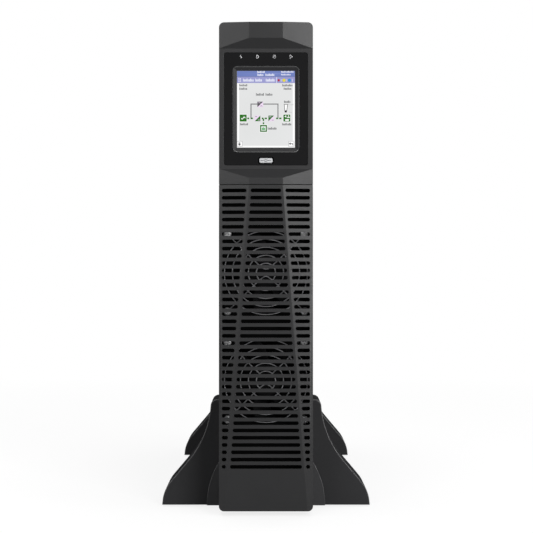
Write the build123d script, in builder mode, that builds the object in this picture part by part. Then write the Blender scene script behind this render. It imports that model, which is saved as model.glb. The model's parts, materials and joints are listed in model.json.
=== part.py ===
from build123d import *
from math import cos, radians, sin, sqrt
import os

os.makedirs("parts", exist_ok=True)

# A tower-mounted uninterruptible power supply, two rack units thick, standing on edge in four
# stabiliser feet. All sizes are in millimetres. X runs across the narrow front, Y runs from
# the front cover to the rear panel and Z is up. The origin is on the floor, under the middle
# of the overall box, and the front looks along -Y.

# Overall sizes and fits
overall_depth = 580.0           # front of the cover to the back of the terminal box
fit_gap = 0.2                   # between fixed pieces that seat in or on each other
sheet = 1.2                     # steel sheet of the chassis
sheet_bend = 1.5                # outer radius of its folds

# Cooling fans and their guards
fan_size = 80.0
fan_depth = 25.0
fan_side_room = 3.0             # from the fan frame to the outside of the chassis
fan_hole_pitch = 71.5
fan_spacing = 20.1              # between the two fan frames
fan_bore = 76.5
fan_corner = 4.0
fan_flange = 3.6
fan_duct_wall = 1.5
fan_hole = 4.5
rotor_tip_gap = 1.0
hub_radius = 16.0
hub_length = 17.0
blade_count = 7
blade_thickness = 1.3
blade_camber = 0.12             # rise of the bent blade, as a share of its chord
blade_pitch = 34.0              # degrees, from the plane of rotation
root_chord = 15.0
tip_chord = 25.0
shaft_radius = 1.5
shaft_gap = 0.05
wire_radius = 0.8
guard_rings = 5
guard_inner_ring = 8.9
guard_ring_pitch = 7.43
guard_bend = 8.0                # bend of each V-shaped stay beside the fan's axis
guard_sides = 24
large_sides = 40                # sides of the wide rounds that have plain facets
small_sides = 10                # and of the narrow ones
eyelet_radius = 3.2
screw_radius = 1.9
screw_head_radius = 3.8
screw_head_height = 2.4

# Front cover: a slotted lower part and a display part above the seam
bezel_width = fan_size + 2 * fan_side_room
bezel_lift = 4.4                # gap between the cover and the floor
bezel_depth = 24.0
bezel_wall = 2.5
bezel_corner = 4.5
facet_setback = 3.7             # how far the cover's long edges lie behind its middle
crease_half_top = 15.4          # half width of the flat middle strip, above the seam
crease_half_bottom = 37.8       # and at the bottom edge
grille_height = 298.3           # bottom edge to the seam
seam_gap = 0.5
slot_count = 39
slot_height = 3.1
slot_top_margin = 5.3           # seam to the middle of the first row
slot_bottom_margin = 40.6
slot_side_margin = 2.7          # cover's long edge to the slots' ends
slot_bridge = 3.9               # between the columns, centred on the crease

# Display
recess_top = 14.8               # top edge of the cover down to the start of the recess
recess_slope = 9.2              # height of its upper slope
recess_lower_slope = 8.2
recess_bottom = 6.3             # end of the recess down to the seam
panel_side_margin = 4.8
panel_top_margin = 3.9
panel_bottom_margin = 3.6
panel_corner = 2.0
panel_flange = 1.6
screen_width = 52.9
screen_height = 70.1
screen_room_above = 12.4        # border round the screen to the top of the panel
screen_room_below = 12.1
screen_border = 4.05
screen_border_corner = 5.0
screen_sink = 1.6
screen_thickness = 2.4
border_rise = 0.4

# Power key
key_width = 12.4
key_height = 4.6
key_gap = 0.9
key_corner = 1.5
key_sink = 0.5                  # below the panel's face
key_thickness = 4.0
key_rise = 4.2                  # bottom of the panel to the middle of the key
key_travel = 1.5
key_stem_width = 4.0
key_stem_height = 3.0
key_stem_gap = 0.25
guide_wall = 1.6

# Chassis
chassis_drop_top = 4.0          # top of the cover to the top of the chassis
chassis_rise_bottom = 3.0       # bottom of the cover to the bottom of the chassis
lip = 12.0                      # folded edges of the front plate and rear panel
cover_flange = 14.0
ear_hole_radius = 2.1
ear_hole_x = 50.0
ear_hole_y = 24.0
ear_setback = 14.0              # chassis front to the first ear holes
lower_fan_height = 117.6        # bottom of the cover to the axis of the lower fan
module_room = 12.0              # from the power module to the input breaker, twice it to the fans

# Feet
foot_setback = 62.4             # cover front to the face of the front feet
foot_pitch = 397.0
foot_depth = 58.0
foot_reach = 56.0               # chassis side to the toe
foot_height = 101.4
foot_wall = 2.6
foot_lift = 1.0                 # the rubber pads hold it off the floor
foot_edge = 0.5
foot_gap = 0.3
toe_lean = 0.4
toe_height = 5.0
shoulder_in = 8.4               # toe to the start of the straight part of the flank
shoulder_height = 23.6
hip_width = 31.2                # end of the straight part, where the hollow part starts
hip_height = 43.0
waist_width = 10.2
waist_height = 91.0
crown_width = 9.2
crown_radius = 6.0
foot_bays = 3
foot_rib = 2.4
cheek_rise = 4.0
cheek_width = 13.2
cheek_height = 44.0
tongue_margin = 5.0
tongue_tab = 12.0
tongue_tab_neck = 12.0
tongue_tab_head = 17.0
pad_width = 11.0
pad_length = 40.0
pad_corner = 2.0
pad_inset = 7.0

# Rear panel
vent_columns = 11
vent_rows = 3
vent_width = 3.4
vent_pitch = 6.4
vent_bridge = 6.0               # between the rows of vents
vent_margin = 9.0               # vents to the sockets above and below
terminal_width = 76.0
terminal_height = 138.0
terminal_depth = 22.0
terminal_rise = 18.0            # bottom of the chassis to the terminal cover
terminal_edge = 2.0
knockout_radius = 13.0
knockout_score = 0.4
knockout_pitch = 36.0
breaker_rise = 8.0              # above the terminal cover
breaker_width = 36.0
breaker_height = 45.0
breaker_bar = 17.0
breaker_depth = 30.0
toggle_width = 26.0
connector_width = 30.0
connector_height = 40.0
connector_depth = 24.0
connector_wall = 3.0
connector_proud = 6.0
card_width = 74.0
card_height = 42.0
card_drop = 36.0                # top of the chassis to the middle of the card slot
card_thickness = 1.6
thumb_radius = 4.0
thumb_length = 6.0
port_drop = 82.0                # top of the chassis to the row of small sockets
port_row = 22.0
port_depth = 14.0
port_proud = 1.0
port_wall = 1.0
stud_radius = 2.5
stud_length = 14.0
nut_across = 8.0
nut_height = 4.0

# Places worked out from the sizes above
front_y = -overall_depth / 2
plate_y = front_y + bezel_depth
rear_y = overall_depth / 2
panel_y = rear_y - terminal_depth
border_width = screen_width + 2 * screen_border
border_height = screen_height + 2 * screen_border
panel_height = border_height + screen_room_above + screen_room_below
recess_height = panel_height + panel_top_margin + panel_bottom_margin
display_height = recess_top + recess_slope + recess_height + recess_lower_slope + recess_bottom
bezel_height = grille_height + display_height
bezel_top = bezel_lift + bezel_height
seam_z = bezel_lift + grille_height
chassis_width = bezel_width
chassis_side = chassis_width / 2
chassis_top = bezel_top - chassis_drop_top
chassis_bottom = bezel_lift + chassis_rise_bottom
chassis_middle = (chassis_top + chassis_bottom) / 2
chassis_height = chassis_top - chassis_bottom
fan_pitch = fan_size + fan_spacing
lower_fan_z = bezel_lift + lower_fan_height
fan_places = {"lower": lower_fan_z, "upper": lower_fan_z + fan_pitch}
fan_front_y = plate_y + sheet
facet_slope = facet_setback / (bezel_width / 2 - crease_half_top)
frame_y = front_y + facet_setback
recess_top_z = bezel_top - recess_top
recess_flat_top = recess_top_z - recess_slope
recess_flat_bottom = recess_flat_top - recess_height
panel_width = bezel_width - 2 * panel_side_margin
panel_top = recess_flat_top - panel_top_margin
panel_bottom = panel_top - panel_height
panel_z = (panel_top + panel_bottom) / 2
screen_z = panel_top - screen_room_above - border_height / 2
key_z = panel_bottom + key_rise
well_width = key_width + 2 * key_gap
well_height = key_height + 2 * key_gap


def facing_plane(y):
    # vertical plane across the object at depth y, drawn as seen from the front
    return Plane.XZ.offset(-y)


def crease_half(z):
    # half width of the middle strip at height z, below the seam
    share = (seam_z - z) / grille_height
    return crease_half_top + (crease_half_bottom - crease_half_top) * share


def facet_plane(side, low, high, inset):
    # the tilted side facet whose inner edge runs between the points low and high, (half width, z)
    start = Vector(side * low[0], front_y, low[1])
    end = Vector(side * high[0], front_y, high[1])
    outward = Vector(side, facet_slope, 0)
    normal = outward.cross(end - start).normalized() * side
    return Plane(origin=start - normal * inset, z_dir=normal)


def faceted_block(low, high, inset, rounded_end):
    # block with a flat middle strip and two tilted facets; inset shrinks it into its own cavity
    with BuildPart() as block:
        with BuildSketch(facing_plane(front_y + inset)) as outline:
            with Locations((0, (low[1] + high[1]) / 2)):
                Rectangle(bezel_width - 2 * inset, high[1] - low[1] - 2 * inset)
            corners = outline.vertices().sort_by(Axis.Y)
            chosen = corners[-2:] if rounded_end == "top" else corners[:2]
            fillet(chosen, bezel_corner - inset)
        extrude(amount=-bezel_depth)
        for side in (-1, 1):
            split(bisect_by=facet_plane(side, low, high, inset), keep=Keep.BOTTOM)
    return block.part


def display_recess(inset):
    # hollow across the whole width, with sloping ends above and below
    shift = front_y + inset
    with BuildPart() as recess:
        with BuildSketch(Plane.YZ.offset(-bezel_width)):
            with BuildLine():
                Polyline(
                    (shift - facet_setback, recess_top_z + recess_slope),
                    (shift + facet_setback, recess_flat_top),
                    (shift + facet_setback, recess_flat_bottom),
                    (shift - facet_setback, recess_flat_bottom - 2 * recess_lower_slope),
                    close=True,
                )
            make_face()
        extrude(amount=2 * bezel_width)
    return recess.part


def back_trim():
    # everything behind the cover's back edge, which sits just clear of the chassis
    with BuildPart() as trim:
        with BuildSketch(facing_plane(plate_y - fit_gap)):
            with Locations((0, bezel_lift + bezel_height / 2)):
                Rectangle(2 * bezel_width, 2 * bezel_height)
        extrude(amount=-2 * bezel_depth)
    return trim.part


def slot_outline(length, height):
    # an air slot whose round ends are drawn with three straight sides each
    cut = height * (1 - sqrt(0.5))
    x = length / 2
    y = height / 2
    corners = [(x, y - cut), (x - cut, y), (cut - x, y), (-x, y - cut)]
    return corners + [(-x, cut - y), (cut - x, -y), (x - cut, -y), (x, cut - y)]


lower_low = (crease_half_bottom, bezel_lift)
lower_high = (crease_half(seam_z - seam_gap / 2), seam_z - seam_gap / 2)
upper_low = (crease_half_top, seam_z + seam_gap / 2)
upper_high = (crease_half_top, bezel_top)

# Lower front cover, with three columns of air slots that follow the creases
with BuildPart() as grille_cover:
    add(faceted_block(lower_low, lower_high, 0, "bottom"))
    add(faceted_block(lower_low, lower_high, bezel_wall, "bottom"), mode=Mode.SUBTRACT)
    add(back_trim(), mode=Mode.SUBTRACT)
    slot_pitch = (grille_height - slot_top_margin - slot_bottom_margin) / (slot_count - 1)
    slot_end = bezel_width / 2 - slot_side_margin
    with BuildSketch(facing_plane(front_y + facet_setback + 2 * bezel_wall)):
        for row in range(slot_count):
            z = seam_z - slot_top_margin - row * slot_pitch
            inner_end = crease_half(z) + slot_bridge / 2
            middle_length = 2 * (crease_half(z) - slot_bridge / 2)
            side_length = slot_end - inner_end
            side_x = (slot_end + inner_end) / 2
            for x, length in ((-side_x, side_length), (0, middle_length), (side_x, side_length)):
                with Locations((x, z)):
                    Polygon(*slot_outline(length, slot_height))
    extrude(amount=facet_setback + 3 * bezel_wall, mode=Mode.SUBTRACT)
grille_cover.part.label = "grille_cover"
export_step(grille_cover.part, "parts/grille_cover.step")

# Display part of the front cover
with BuildPart() as hollow:
    add(faceted_block(upper_low, upper_high, bezel_wall, "top"))
    add(display_recess(bezel_wall), mode=Mode.SUBTRACT)
with BuildPart() as display_surround:
    add(faceted_block(upper_low, upper_high, 0, "top"))
    add(display_recess(0), mode=Mode.SUBTRACT)
    add(hollow.part, mode=Mode.SUBTRACT)
    add(back_trim(), mode=Mode.SUBTRACT)
    with BuildSketch(facing_plane(frame_y + 2 * bezel_wall)):
        with Locations((0, panel_z)):
            RectangleRounded(panel_width + 2 * fit_gap, panel_height + 2 * fit_gap, panel_corner)
    extrude(amount=3 * bezel_wall, mode=Mode.SUBTRACT)
display_surround.part.label = "display_surround"
export_step(display_surround.part, "parts/display_surround.step")

# Dark glossy panel, held from behind by its flange
with BuildPart() as display_panel:
    with BuildSketch(facing_plane(frame_y + bezel_wall + fit_gap)):
        with Locations((0, panel_z)):
            RectangleRounded(panel_width, panel_height, panel_corner)
    extrude(amount=bezel_wall + fit_gap)
    with BuildSketch(facing_plane(frame_y + bezel_wall + fit_gap)):
        with Locations((0, panel_z)):
            Rectangle(panel_width + 2 * panel_flange, panel_height + 2 * panel_flange)
    extrude(amount=-panel_flange)
    with BuildSketch(facing_plane(frame_y - bezel_wall)):
        with Locations((0, screen_z)):
            RectangleRounded(
                border_width + 2 * fit_gap, border_height + 2 * fit_gap, screen_border_corner
            )
        with Locations((0, key_z)):
            RectangleRounded(well_width, well_height, key_corner + key_gap / 2)
    extrude(amount=-3 * bezel_wall, mode=Mode.SUBTRACT)
display_panel.part.label = "display_panel"
export_step(display_panel.part, "parts/display_panel.step")

# Border round the screen, which slopes in to the glass
with BuildPart() as screen_border_ring:
    with BuildSketch(facing_plane(frame_y + screen_sink)):
        with Locations((0, screen_z)):
            RectangleRounded(border_width, border_height, screen_border_corner)
    extrude(amount=screen_sink + border_rise)
    with BuildSketch(facing_plane(frame_y + screen_sink)):
        with Locations((0, screen_z)):
            Rectangle(screen_width, screen_height)
    with BuildSketch(facing_plane(frame_y - border_rise)):
        with Locations((0, screen_z)):
            Rectangle(border_width - screen_border / 2, border_height - screen_border / 2)
    loft(mode=Mode.SUBTRACT)
screen_border_ring.part.label = "screen_border"
export_step(screen_border_ring.part, "parts/screen_border.step")

# Liquid-crystal screen behind the border
with BuildPart() as screen:
    with BuildSketch(facing_plane(frame_y + screen_sink)):
        with Locations((0, screen_z)):
            RectangleRounded(border_width, border_height, screen_border_corner)
    extrude(amount=-screen_thickness)
screen.part.label = "screen"
export_step(screen.part, "parts/screen.step")

# Power key with its stem
key_front_y = frame_y + key_sink
key_back_y = key_front_y + key_thickness
guide_back_y = key_back_y + key_travel + guide_wall
with BuildPart() as power_button:
    with BuildSketch(facing_plane(key_back_y)):
        with Locations((0, key_z)):
            RectangleRounded(key_width, key_height, key_corner)
    extrude(amount=key_thickness)
    front_rim = power_button.faces().sort_by(Axis.Y)[0].edges()
    chamfer(front_rim, key_sink)
    with BuildSketch(facing_plane(key_back_y)):
        with Locations((0, key_z)):
            Rectangle(key_stem_width, key_stem_height)
    extrude(amount=-(key_travel + 2 * guide_wall))
power_button.part.label = "power_button"
export_step(power_button.part, "parts/power_button.step")

# Black sleeve that guides the key's stem
guide_front_y = frame_y + bezel_wall + fit_gap + panel_flange
with BuildPart() as button_guide:
    with BuildSketch(facing_plane(guide_front_y)):
        with Locations((0, key_z)):
            RectangleRounded(
                well_width + 2 * guide_wall, well_height + 2 * guide_wall, key_corner + guide_wall
            )
    extrude(amount=-(guide_back_y - guide_front_y))
    with BuildSketch(facing_plane(guide_front_y)):
        with Locations((0, key_z)):
            RectangleRounded(well_width, well_height, key_corner + key_gap / 2)
    extrude(amount=-(guide_back_y - guide_front_y - guide_wall), mode=Mode.SUBTRACT)
    with BuildSketch(facing_plane(guide_front_y)):
        with Locations((0, key_z)):
            Rectangle(key_stem_width + 2 * key_stem_gap, key_stem_height + 2 * key_stem_gap)
    extrude(amount=-2 * bezel_depth, mode=Mode.SUBTRACT)
button_guide.part.label = "button_guide"
export_step(button_guide.part, "parts/button_guide.step")


def folded_profile(width, height, radius):
    # rounded rectangle of folded sheet, without its middle
    with BuildSketch() as profile:
        RectangleRounded(width, height, radius)
        RectangleRounded(width - 2 * sheet, height - 2 * sheet, radius - sheet, mode=Mode.SUBTRACT)
    return profile.sketch


# Chassis tray: one broad side and both narrow sides, folded from one sheet
with BuildPart() as chassis_tray:
    with BuildSketch(facing_plane(panel_y)):
        with Locations((0, chassis_middle)):
            add(folded_profile(chassis_width, chassis_height, sheet_bend))
        with Locations((chassis_side, chassis_middle)):
            Rectangle(2 * (sheet + fit_gap), 2 * chassis_height, mode=Mode.SUBTRACT)
    extrude(amount=panel_y - plate_y)
    ear_y = plate_y + ear_setback + ear_hole_y / 2
    with BuildSketch(Plane.XY):
        with Locations((0, ear_y)):
            with GridLocations(ear_hole_x, ear_hole_y, 2, 2):
                Circle(ear_hole_radius)
    extrude(amount=2 * bezel_height, mode=Mode.SUBTRACT)
chassis_tray.part.label = "chassis_tray"
export_step(chassis_tray.part, "parts/chassis_tray.step")

# Chassis cover: the other broad side, with flanges that tuck inside the tray
flange_height = chassis_height - 2 * (sheet + fit_gap)
with BuildPart() as chassis_cover:
    with BuildSketch(facing_plane(panel_y)):
        with Locations((chassis_side - cover_flange / 2, chassis_middle)):
            Rectangle(cover_flange, flange_height)
        with Locations((chassis_side - sheet / 2, chassis_middle)):
            Rectangle(sheet, chassis_height - 2 * sheet_bend)
        with Locations((chassis_side - sheet - cover_flange / 2, chassis_middle)):
            Rectangle(cover_flange, flange_height - 2 * sheet, mode=Mode.SUBTRACT)
    extrude(amount=panel_y - plate_y)
    with BuildSketch(Plane.XY):
        with Locations((0, ear_y)):
            with GridLocations(ear_hole_x, ear_hole_y, 2, 2):
                Circle(ear_hole_radius)
    extrude(amount=2 * bezel_height, mode=Mode.SUBTRACT)
chassis_cover.part.label = "chassis_cover"
export_step(chassis_cover.part, "parts/chassis_cover.step")

# Plates that close the chassis in front and behind fit inside the cover's flanges
pan_width = chassis_width - 2 * (sheet + fit_gap)
pan_height = chassis_height - 4 * (sheet + fit_gap)


def folded_pan(outer_y, direction):
    # flat plate with edges folded inwards; direction is +1 for edges that run backwards
    with BuildPart() as pan:
        with BuildSketch(facing_plane(outer_y)):
            with Locations((0, chassis_middle)):
                RectangleRounded(pan_width, pan_height, sheet_bend)
        extrude(amount=-direction * lip)
        with BuildSketch(facing_plane(outer_y + direction * sheet)):
            with Locations((0, chassis_middle)):
                Rectangle(pan_width - 2 * sheet, pan_height - 2 * sheet)
        extrude(amount=-direction * lip, mode=Mode.SUBTRACT)
    return pan.part


with BuildPart() as front_plate:
    add(folded_pan(plate_y, 1))
    with BuildSketch(facing_plane(plate_y)):
        for fan_z in fan_places.values():
            with Locations((0, fan_z)):
                RegularPolygon(fan_bore / 2, large_sides, major_radius=False)
                with GridLocations(fan_hole_pitch, fan_hole_pitch, 2, 2):
                    RegularPolygon(fan_hole / 2, small_sides, major_radius=False)
    extrude(amount=-2 * sheet, mode=Mode.SUBTRACT)
front_plate.part.label = "front_plate"
export_step(front_plate.part, "parts/front_plate.step")

fan_back_y = fan_front_y + fan_depth
hub_front_y = fan_front_y + rotor_tip_gap + fan_flange / 2
hub_back_y = hub_front_y + hub_length
rotor_radius = fan_bore / 2 - rotor_tip_gap
mount_front_y = hub_back_y + rotor_tip_gap


def fan_frame(fan_z):
    # two square flanges joined by a round duct, with a motor mount on four arms at the back
    with BuildPart() as frame:
        with BuildSketch(facing_plane(fan_front_y)):
            with Locations((0, fan_z)):
                RegularPolygon(fan_bore / 2 + fan_duct_wall, large_sides, major_radius=False)
        extrude(amount=-fan_depth)
        for flange_y in (fan_front_y, fan_back_y - fan_flange):
            with BuildSketch(facing_plane(flange_y)) as flange:
                with Locations((0, fan_z)):
                    Rectangle(fan_size, fan_size)
                    chamfer(flange.vertices(), fan_corner)
                    if flange_y == fan_front_y:
                        with GridLocations(fan_hole_pitch, fan_hole_pitch, 2, 2):
                            RegularPolygon(
                                fan_hole / 2, small_sides, major_radius=False, mode=Mode.SUBTRACT
                            )
            extrude(amount=-fan_flange)
        with BuildSketch(facing_plane(fan_front_y)):
            with Locations((0, fan_z)):
                RegularPolygon(fan_bore / 2, large_sides, major_radius=False)
        extrude(amount=-fan_depth, mode=Mode.SUBTRACT)
        with BuildSketch(facing_plane(mount_front_y)):
            with Locations((0, fan_z)):
                Rectangle(fan_bore + fan_duct_wall, fan_flange, rotation=45)
                Rectangle(fan_bore + fan_duct_wall, fan_flange, rotation=-45)
                RegularPolygon(hub_radius, guard_sides)
                Circle(shaft_radius + shaft_gap, mode=Mode.SUBTRACT)
        extrude(amount=-(fan_back_y - mount_front_y))
    return frame


def blade_section(chord):
    # thin strip bent along two lines, its chord along local X
    rise = blade_camber * chord
    upper = [(-chord / 2, 0), (-chord / 6, rise), (chord / 6, rise), (chord / 2, 0)]
    under = [(x, y - blade_thickness) for x, y in reversed(upper)]
    with BuildSketch() as section:
        Polygon(*upper, *under, align=None)
    return section.sketch


def fan_rotor(fan_z):
    # hub, pitched blades lofted from root to tip, and the shaft in the motor mount
    blade_y = (hub_front_y + hub_back_y) / 2
    pitch = radians(blade_pitch)
    with BuildPart() as rotor:
        for index in range(blade_count):
            turn = radians(index * 360 / blade_count)
            radial = Vector(cos(turn), 0, sin(turn))
            around = Vector(-sin(turn), 0, cos(turn))
            chord_line = around * cos(pitch) + Vector(0, sin(pitch), 0)
            for radius, chord in ((hub_radius - 2, root_chord), (rotor_radius + 2, tip_chord)):
                centre = Vector(0, blade_y, fan_z) + radial * radius
                with BuildSketch(Plane(centre, x_dir=chord_line, z_dir=radial)):
                    add(blade_section(chord))
            loft(ruled=True)
        with BuildSketch(facing_plane(hub_back_y)):
            with Locations((0, fan_z)):
                RegularPolygon(rotor_radius, large_sides)
        extrude(amount=hub_length, mode=Mode.INTERSECT)
        with BuildSketch(facing_plane(hub_back_y)):
            with Locations((0, fan_z)):
                RegularPolygon(hub_radius, guard_sides)
        extrude(amount=hub_length)
        chamfer(rotor.faces().sort_by(Axis.Y)[0].edges(), 2 * blade_thickness)
        with BuildSketch(facing_plane(hub_back_y)):
            with Locations((0, fan_z)):
                Circle(shaft_radius)
        extrude(amount=-(fan_back_y - hub_back_y))
    return rotor


guard_stay_y = plate_y - wire_radius - fit_gap
guard_ring_y = guard_stay_y - 1.6 * wire_radius


def fan_guard(fan_z):
    # round wires carried by two V-shaped stays, which end in eyelets under the screws
    reach = fan_hole_pitch / 2
    inner = reach - eyelet_radius * cos(radians(45))
    with BuildPart() as guard:
        for ring in range(guard_rings):
            radius = guard_inner_ring + ring * guard_ring_pitch
            with BuildSketch(facing_plane(guard_ring_y - wire_radius)):
                with Locations((0, fan_z)):
                    RegularPolygon(radius + wire_radius, guard_sides)
                    RegularPolygon(radius - wire_radius, guard_sides, mode=Mode.SUBTRACT)
            extrude(amount=-2 * wire_radius)
        for side in (-1, 1):
            with BuildLine(facing_plane(guard_stay_y)) as stay:
                FilletPolyline(
                    (-inner, fan_z + side * inner),
                    (0, fan_z),
                    (inner, fan_z + side * inner),
                    radius=guard_bend,
                )
            with BuildSketch(Plane(stay.wire() @ 0, x_dir=(0, 1, 0), z_dir=stay.wire() % 0)):
                Rectangle(2 * wire_radius, 2 * wire_radius)
            sweep(path=stay.wire())
        with BuildSketch(facing_plane(guard_stay_y - wire_radius)):
            with Locations((0, fan_z)):
                with GridLocations(fan_hole_pitch, fan_hole_pitch, 2, 2):
                    RegularPolygon(eyelet_radius + wire_radius, small_sides)
                    RegularPolygon(eyelet_radius - wire_radius, small_sides, mode=Mode.SUBTRACT)
        extrude(amount=-2 * wire_radius)
    return guard


for place, fan_z in fan_places.items():
    frame = fan_frame(fan_z)
    frame.part.label = f"fan_frame_{place}"
    export_step(frame.part, f"parts/fan_frame_{place}.step")
    rotor = fan_rotor(fan_z)
    rotor.part.label = f"fan_rotor_{place}"
    export_step(rotor.part, f"parts/fan_rotor_{place}.step")
    guard = fan_guard(fan_z)
    guard.part.label = f"fan_guard_{place}"
    export_step(guard.part, f"parts/fan_guard_{place}.step")

# Eight screws that hold guards and fans to the front plate
head_y = guard_stay_y - wire_radius - fit_gap
with BuildPart() as fan_screws:
    for fan_z in fan_places.values():
        with BuildSketch(facing_plane(head_y)):
            with Locations((0, fan_z)):
                with GridLocations(fan_hole_pitch, fan_hole_pitch, 2, 2):
                    RegularPolygon(screw_head_radius, small_sides)
        extrude(amount=screw_head_height)
    chamfer(fan_screws.faces().filter_by(Axis.Y).group_by(Axis.Y)[0].edges(), screw_head_height / 3)
    for fan_z in fan_places.values():
        with BuildSketch(facing_plane(head_y)):
            with Locations((0, fan_z)):
                with GridLocations(fan_hole_pitch, fan_hole_pitch, 2, 2):
                    RegularPolygon(screw_radius, small_sides)
        extrude(amount=-(fan_front_y + fan_flange - head_y))
        with BuildSketch(facing_plane(head_y - screw_head_height)):
            with Locations((0, fan_z)):
                with GridLocations(fan_hole_pitch, fan_hole_pitch, 2, 2):
                    Rectangle(screw_head_radius, screw_radius / 2)
                    Rectangle(screw_radius / 2, screw_head_radius)
        extrude(amount=-screw_head_height / 2, mode=Mode.SUBTRACT)
fan_screws.part.label = "fan_screws"
export_step(fan_screws.part, "parts/fan_screws.step")


def foot_outline():
    # front view of one foot: chassis side at local X = 0, floor at local Y = 0
    with BuildSketch() as outline:
        with BuildLine():
            base = Line((foot_gap, foot_lift), (foot_reach, foot_lift))
            toe = Line(base @ 1, (foot_reach - toe_lean, toe_height))
            shoulder_end = (foot_reach - shoulder_in, shoulder_height)
            shoulder = TangentArc(toe @ 1, shoulder_end, tangent=toe % 1)
            hip = Line(shoulder @ 1, (hip_width, hip_height))
            flank = TangentArc(hip @ 1, (waist_width, waist_height), tangent=hip % 1)
            crown = Line(flank @ 1, (crown_width, foot_height))
            Line(crown @ 1, (foot_gap, foot_height))
            Line((foot_gap, foot_height), (foot_gap, foot_lift))
        make_face()
        fillet(outline.vertices().sort_by(Axis.Y)[-2:].sort_by(Axis.X)[-1], crown_radius)
    return outline.sketch


def foot_cavity():
    # the outline shrunk by the wall, and open downwards as far as the rubber pad
    with BuildSketch() as cavity:
        add(foot_outline())
        offset(amount=-foot_wall)
        open_start = foot_gap + foot_wall
        open_end = foot_reach - pad_inset - pad_width / 2 - foot_wall
        with Locations(((open_start + open_end) / 2, foot_lift)):
            Rectangle(open_end - open_start, 2.2 * foot_wall)
    return cavity.sketch


def cheek_outline():
    # rounded pad beside the chassis
    with BuildSketch() as cheek:
        with BuildLine():
            base = Line((foot_gap, foot_lift), (cheek_width, foot_lift))
            TangentArc(base @ 1, (foot_gap, cheek_height), tangent=(0, 1))
            Line((foot_gap, cheek_height), (foot_gap, foot_lift))
        make_face()
    return cheek.sketch


foot_bay_width = (foot_depth - 2 * foot_wall - (foot_bays - 1) * foot_rib) / foot_bays
tongue_thickness = chassis_bottom - foot_lift
tongue_width = foot_depth - 2 * tongue_margin


def tab_outline(grow):
    # dovetail that locks one tongue to the other; grow opens it into the matching socket
    reach = tongue_tab + grow
    with BuildSketch() as tab:
        with BuildLine():
            Polyline(
                (0, -tongue_tab_neck / 2 - grow),
                (reach, -tongue_tab_head / 2 - grow),
                (reach, tongue_tab_head / 2 + grow),
                (0, tongue_tab_neck / 2 + grow),
                close=True,
            )
        make_face()
    return tab.sketch


def foot(side, middle_y):
    # both sides are the same moulding, turned half round
    outward = Vector(side, 0, 0)
    face = Plane(origin=(side * chassis_side, middle_y, 0), x_dir=outward, z_dir=(0, -side, 0))
    floor = Plane(origin=(0, middle_y, foot_lift), x_dir=outward, z_dir=(0, 0, 1))
    bay_pitch = foot_bay_width + foot_rib
    with BuildPart() as moulding:
        with BuildSketch(face):
            add(foot_outline())
        extrude(amount=foot_depth / 2, both=True)
        rim = moulding.faces().filter_by(Axis.Y).edges().sort_by(Axis.Z)[2:]
        chamfer(rim, foot_edge)
        for end in (-1, 1):
            with BuildSketch(face.offset(end * foot_depth / 2)):
                add(cheek_outline())
            extrude(amount=end * cheek_rise)
        for bay in range(foot_bays):
            place = (bay - (foot_bays - 1) / 2) * bay_pitch
            with BuildSketch(face.offset(place)):
                add(foot_cavity())
            extrude(amount=foot_bay_width / 2, both=True, mode=Mode.SUBTRACT)
        with BuildSketch(floor):
            with Locations(((chassis_side + foot_wall + foot_gap) / 2, 0)):
                Rectangle(chassis_side + foot_wall + foot_gap - 2 * fit_gap, tongue_width)
            with Locations((fit_gap, tongue_width / 4)):
                with Locations(Rotation(0, 0, 180)):
                    add(tab_outline(0))
            with Locations((0, -tongue_width / 4)):
                add(tab_outline(2 * fit_gap), mode=Mode.SUBTRACT)
        extrude(amount=tongue_thickness)
    return moulding


front_foot_y = front_y + foot_setback + foot_depth / 2
foot_places = {"front": front_foot_y, "rear": front_foot_y + foot_pitch}
for place, middle_y in foot_places.items():
    for hand, side in (("left", -1), ("right", 1)):
        moulding = foot(side, middle_y)
        moulding.part.label = f"{place}_foot_{hand}"
        export_step(moulding.part, f"parts/{place}_foot_{hand}.step")

# Vented rear panel with cut-outs for its sockets
breaker_x = chassis_side / 2
terminal_top = chassis_bottom + terminal_rise + terminal_height
breaker_z = terminal_top + breaker_rise + breaker_height / 2
connector_x = -chassis_side / 2
port_z = chassis_top - port_drop
second_port_z = port_z - port_row
usb_place = (-26.0, port_z)
usb_size = (12.0, 11.0)
network_place = (-4.0, port_z)
network_size = (14.0, 12.0)
epo_place = (24.0, port_z)
epo_size = (14.0, 9.0)
serial_place = (-17.0, second_port_z)
serial_size = (17.0, 8.4)
serial_flange = (31.0, 12.5)
stud_place = (26.0, second_port_z)
vents_low = breaker_z + breaker_height / 2 + vent_margin
vents_high = second_port_z - serial_flange[1] / 2 - vent_margin
vent_row = (vents_high - vents_low + vent_bridge) / vent_rows
cutouts = (
    (usb_place, usb_size),
    (network_place, network_size),
    (epo_place, epo_size),
    (serial_place, serial_size),
    ((breaker_x, breaker_z), (breaker_width, breaker_height)),
    ((connector_x, breaker_z), (connector_width, connector_height)),
)
with BuildPart() as rear_panel:
    add(folded_pan(panel_y, -1))
    with BuildSketch(facing_plane(panel_y)):
        with Locations((0, (vents_low + vents_high) / 2)):
            with GridLocations(vent_pitch, vent_row, vent_columns, vent_rows):
                Polygon(*slot_outline(vent_row - vent_bridge, vent_width), rotation=90)
        for place, size in cutouts:
            with Locations(place):
                Rectangle(size[0] + 2 * fit_gap, size[1] + 2 * fit_gap)
        with Locations(stud_place):
            Circle(stud_radius + fit_gap)
    extrude(amount=2 * sheet, mode=Mode.SUBTRACT)
rear_panel.part.label = "rear_panel"
export_step(rear_panel.part, "parts/rear_panel.step")

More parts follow.
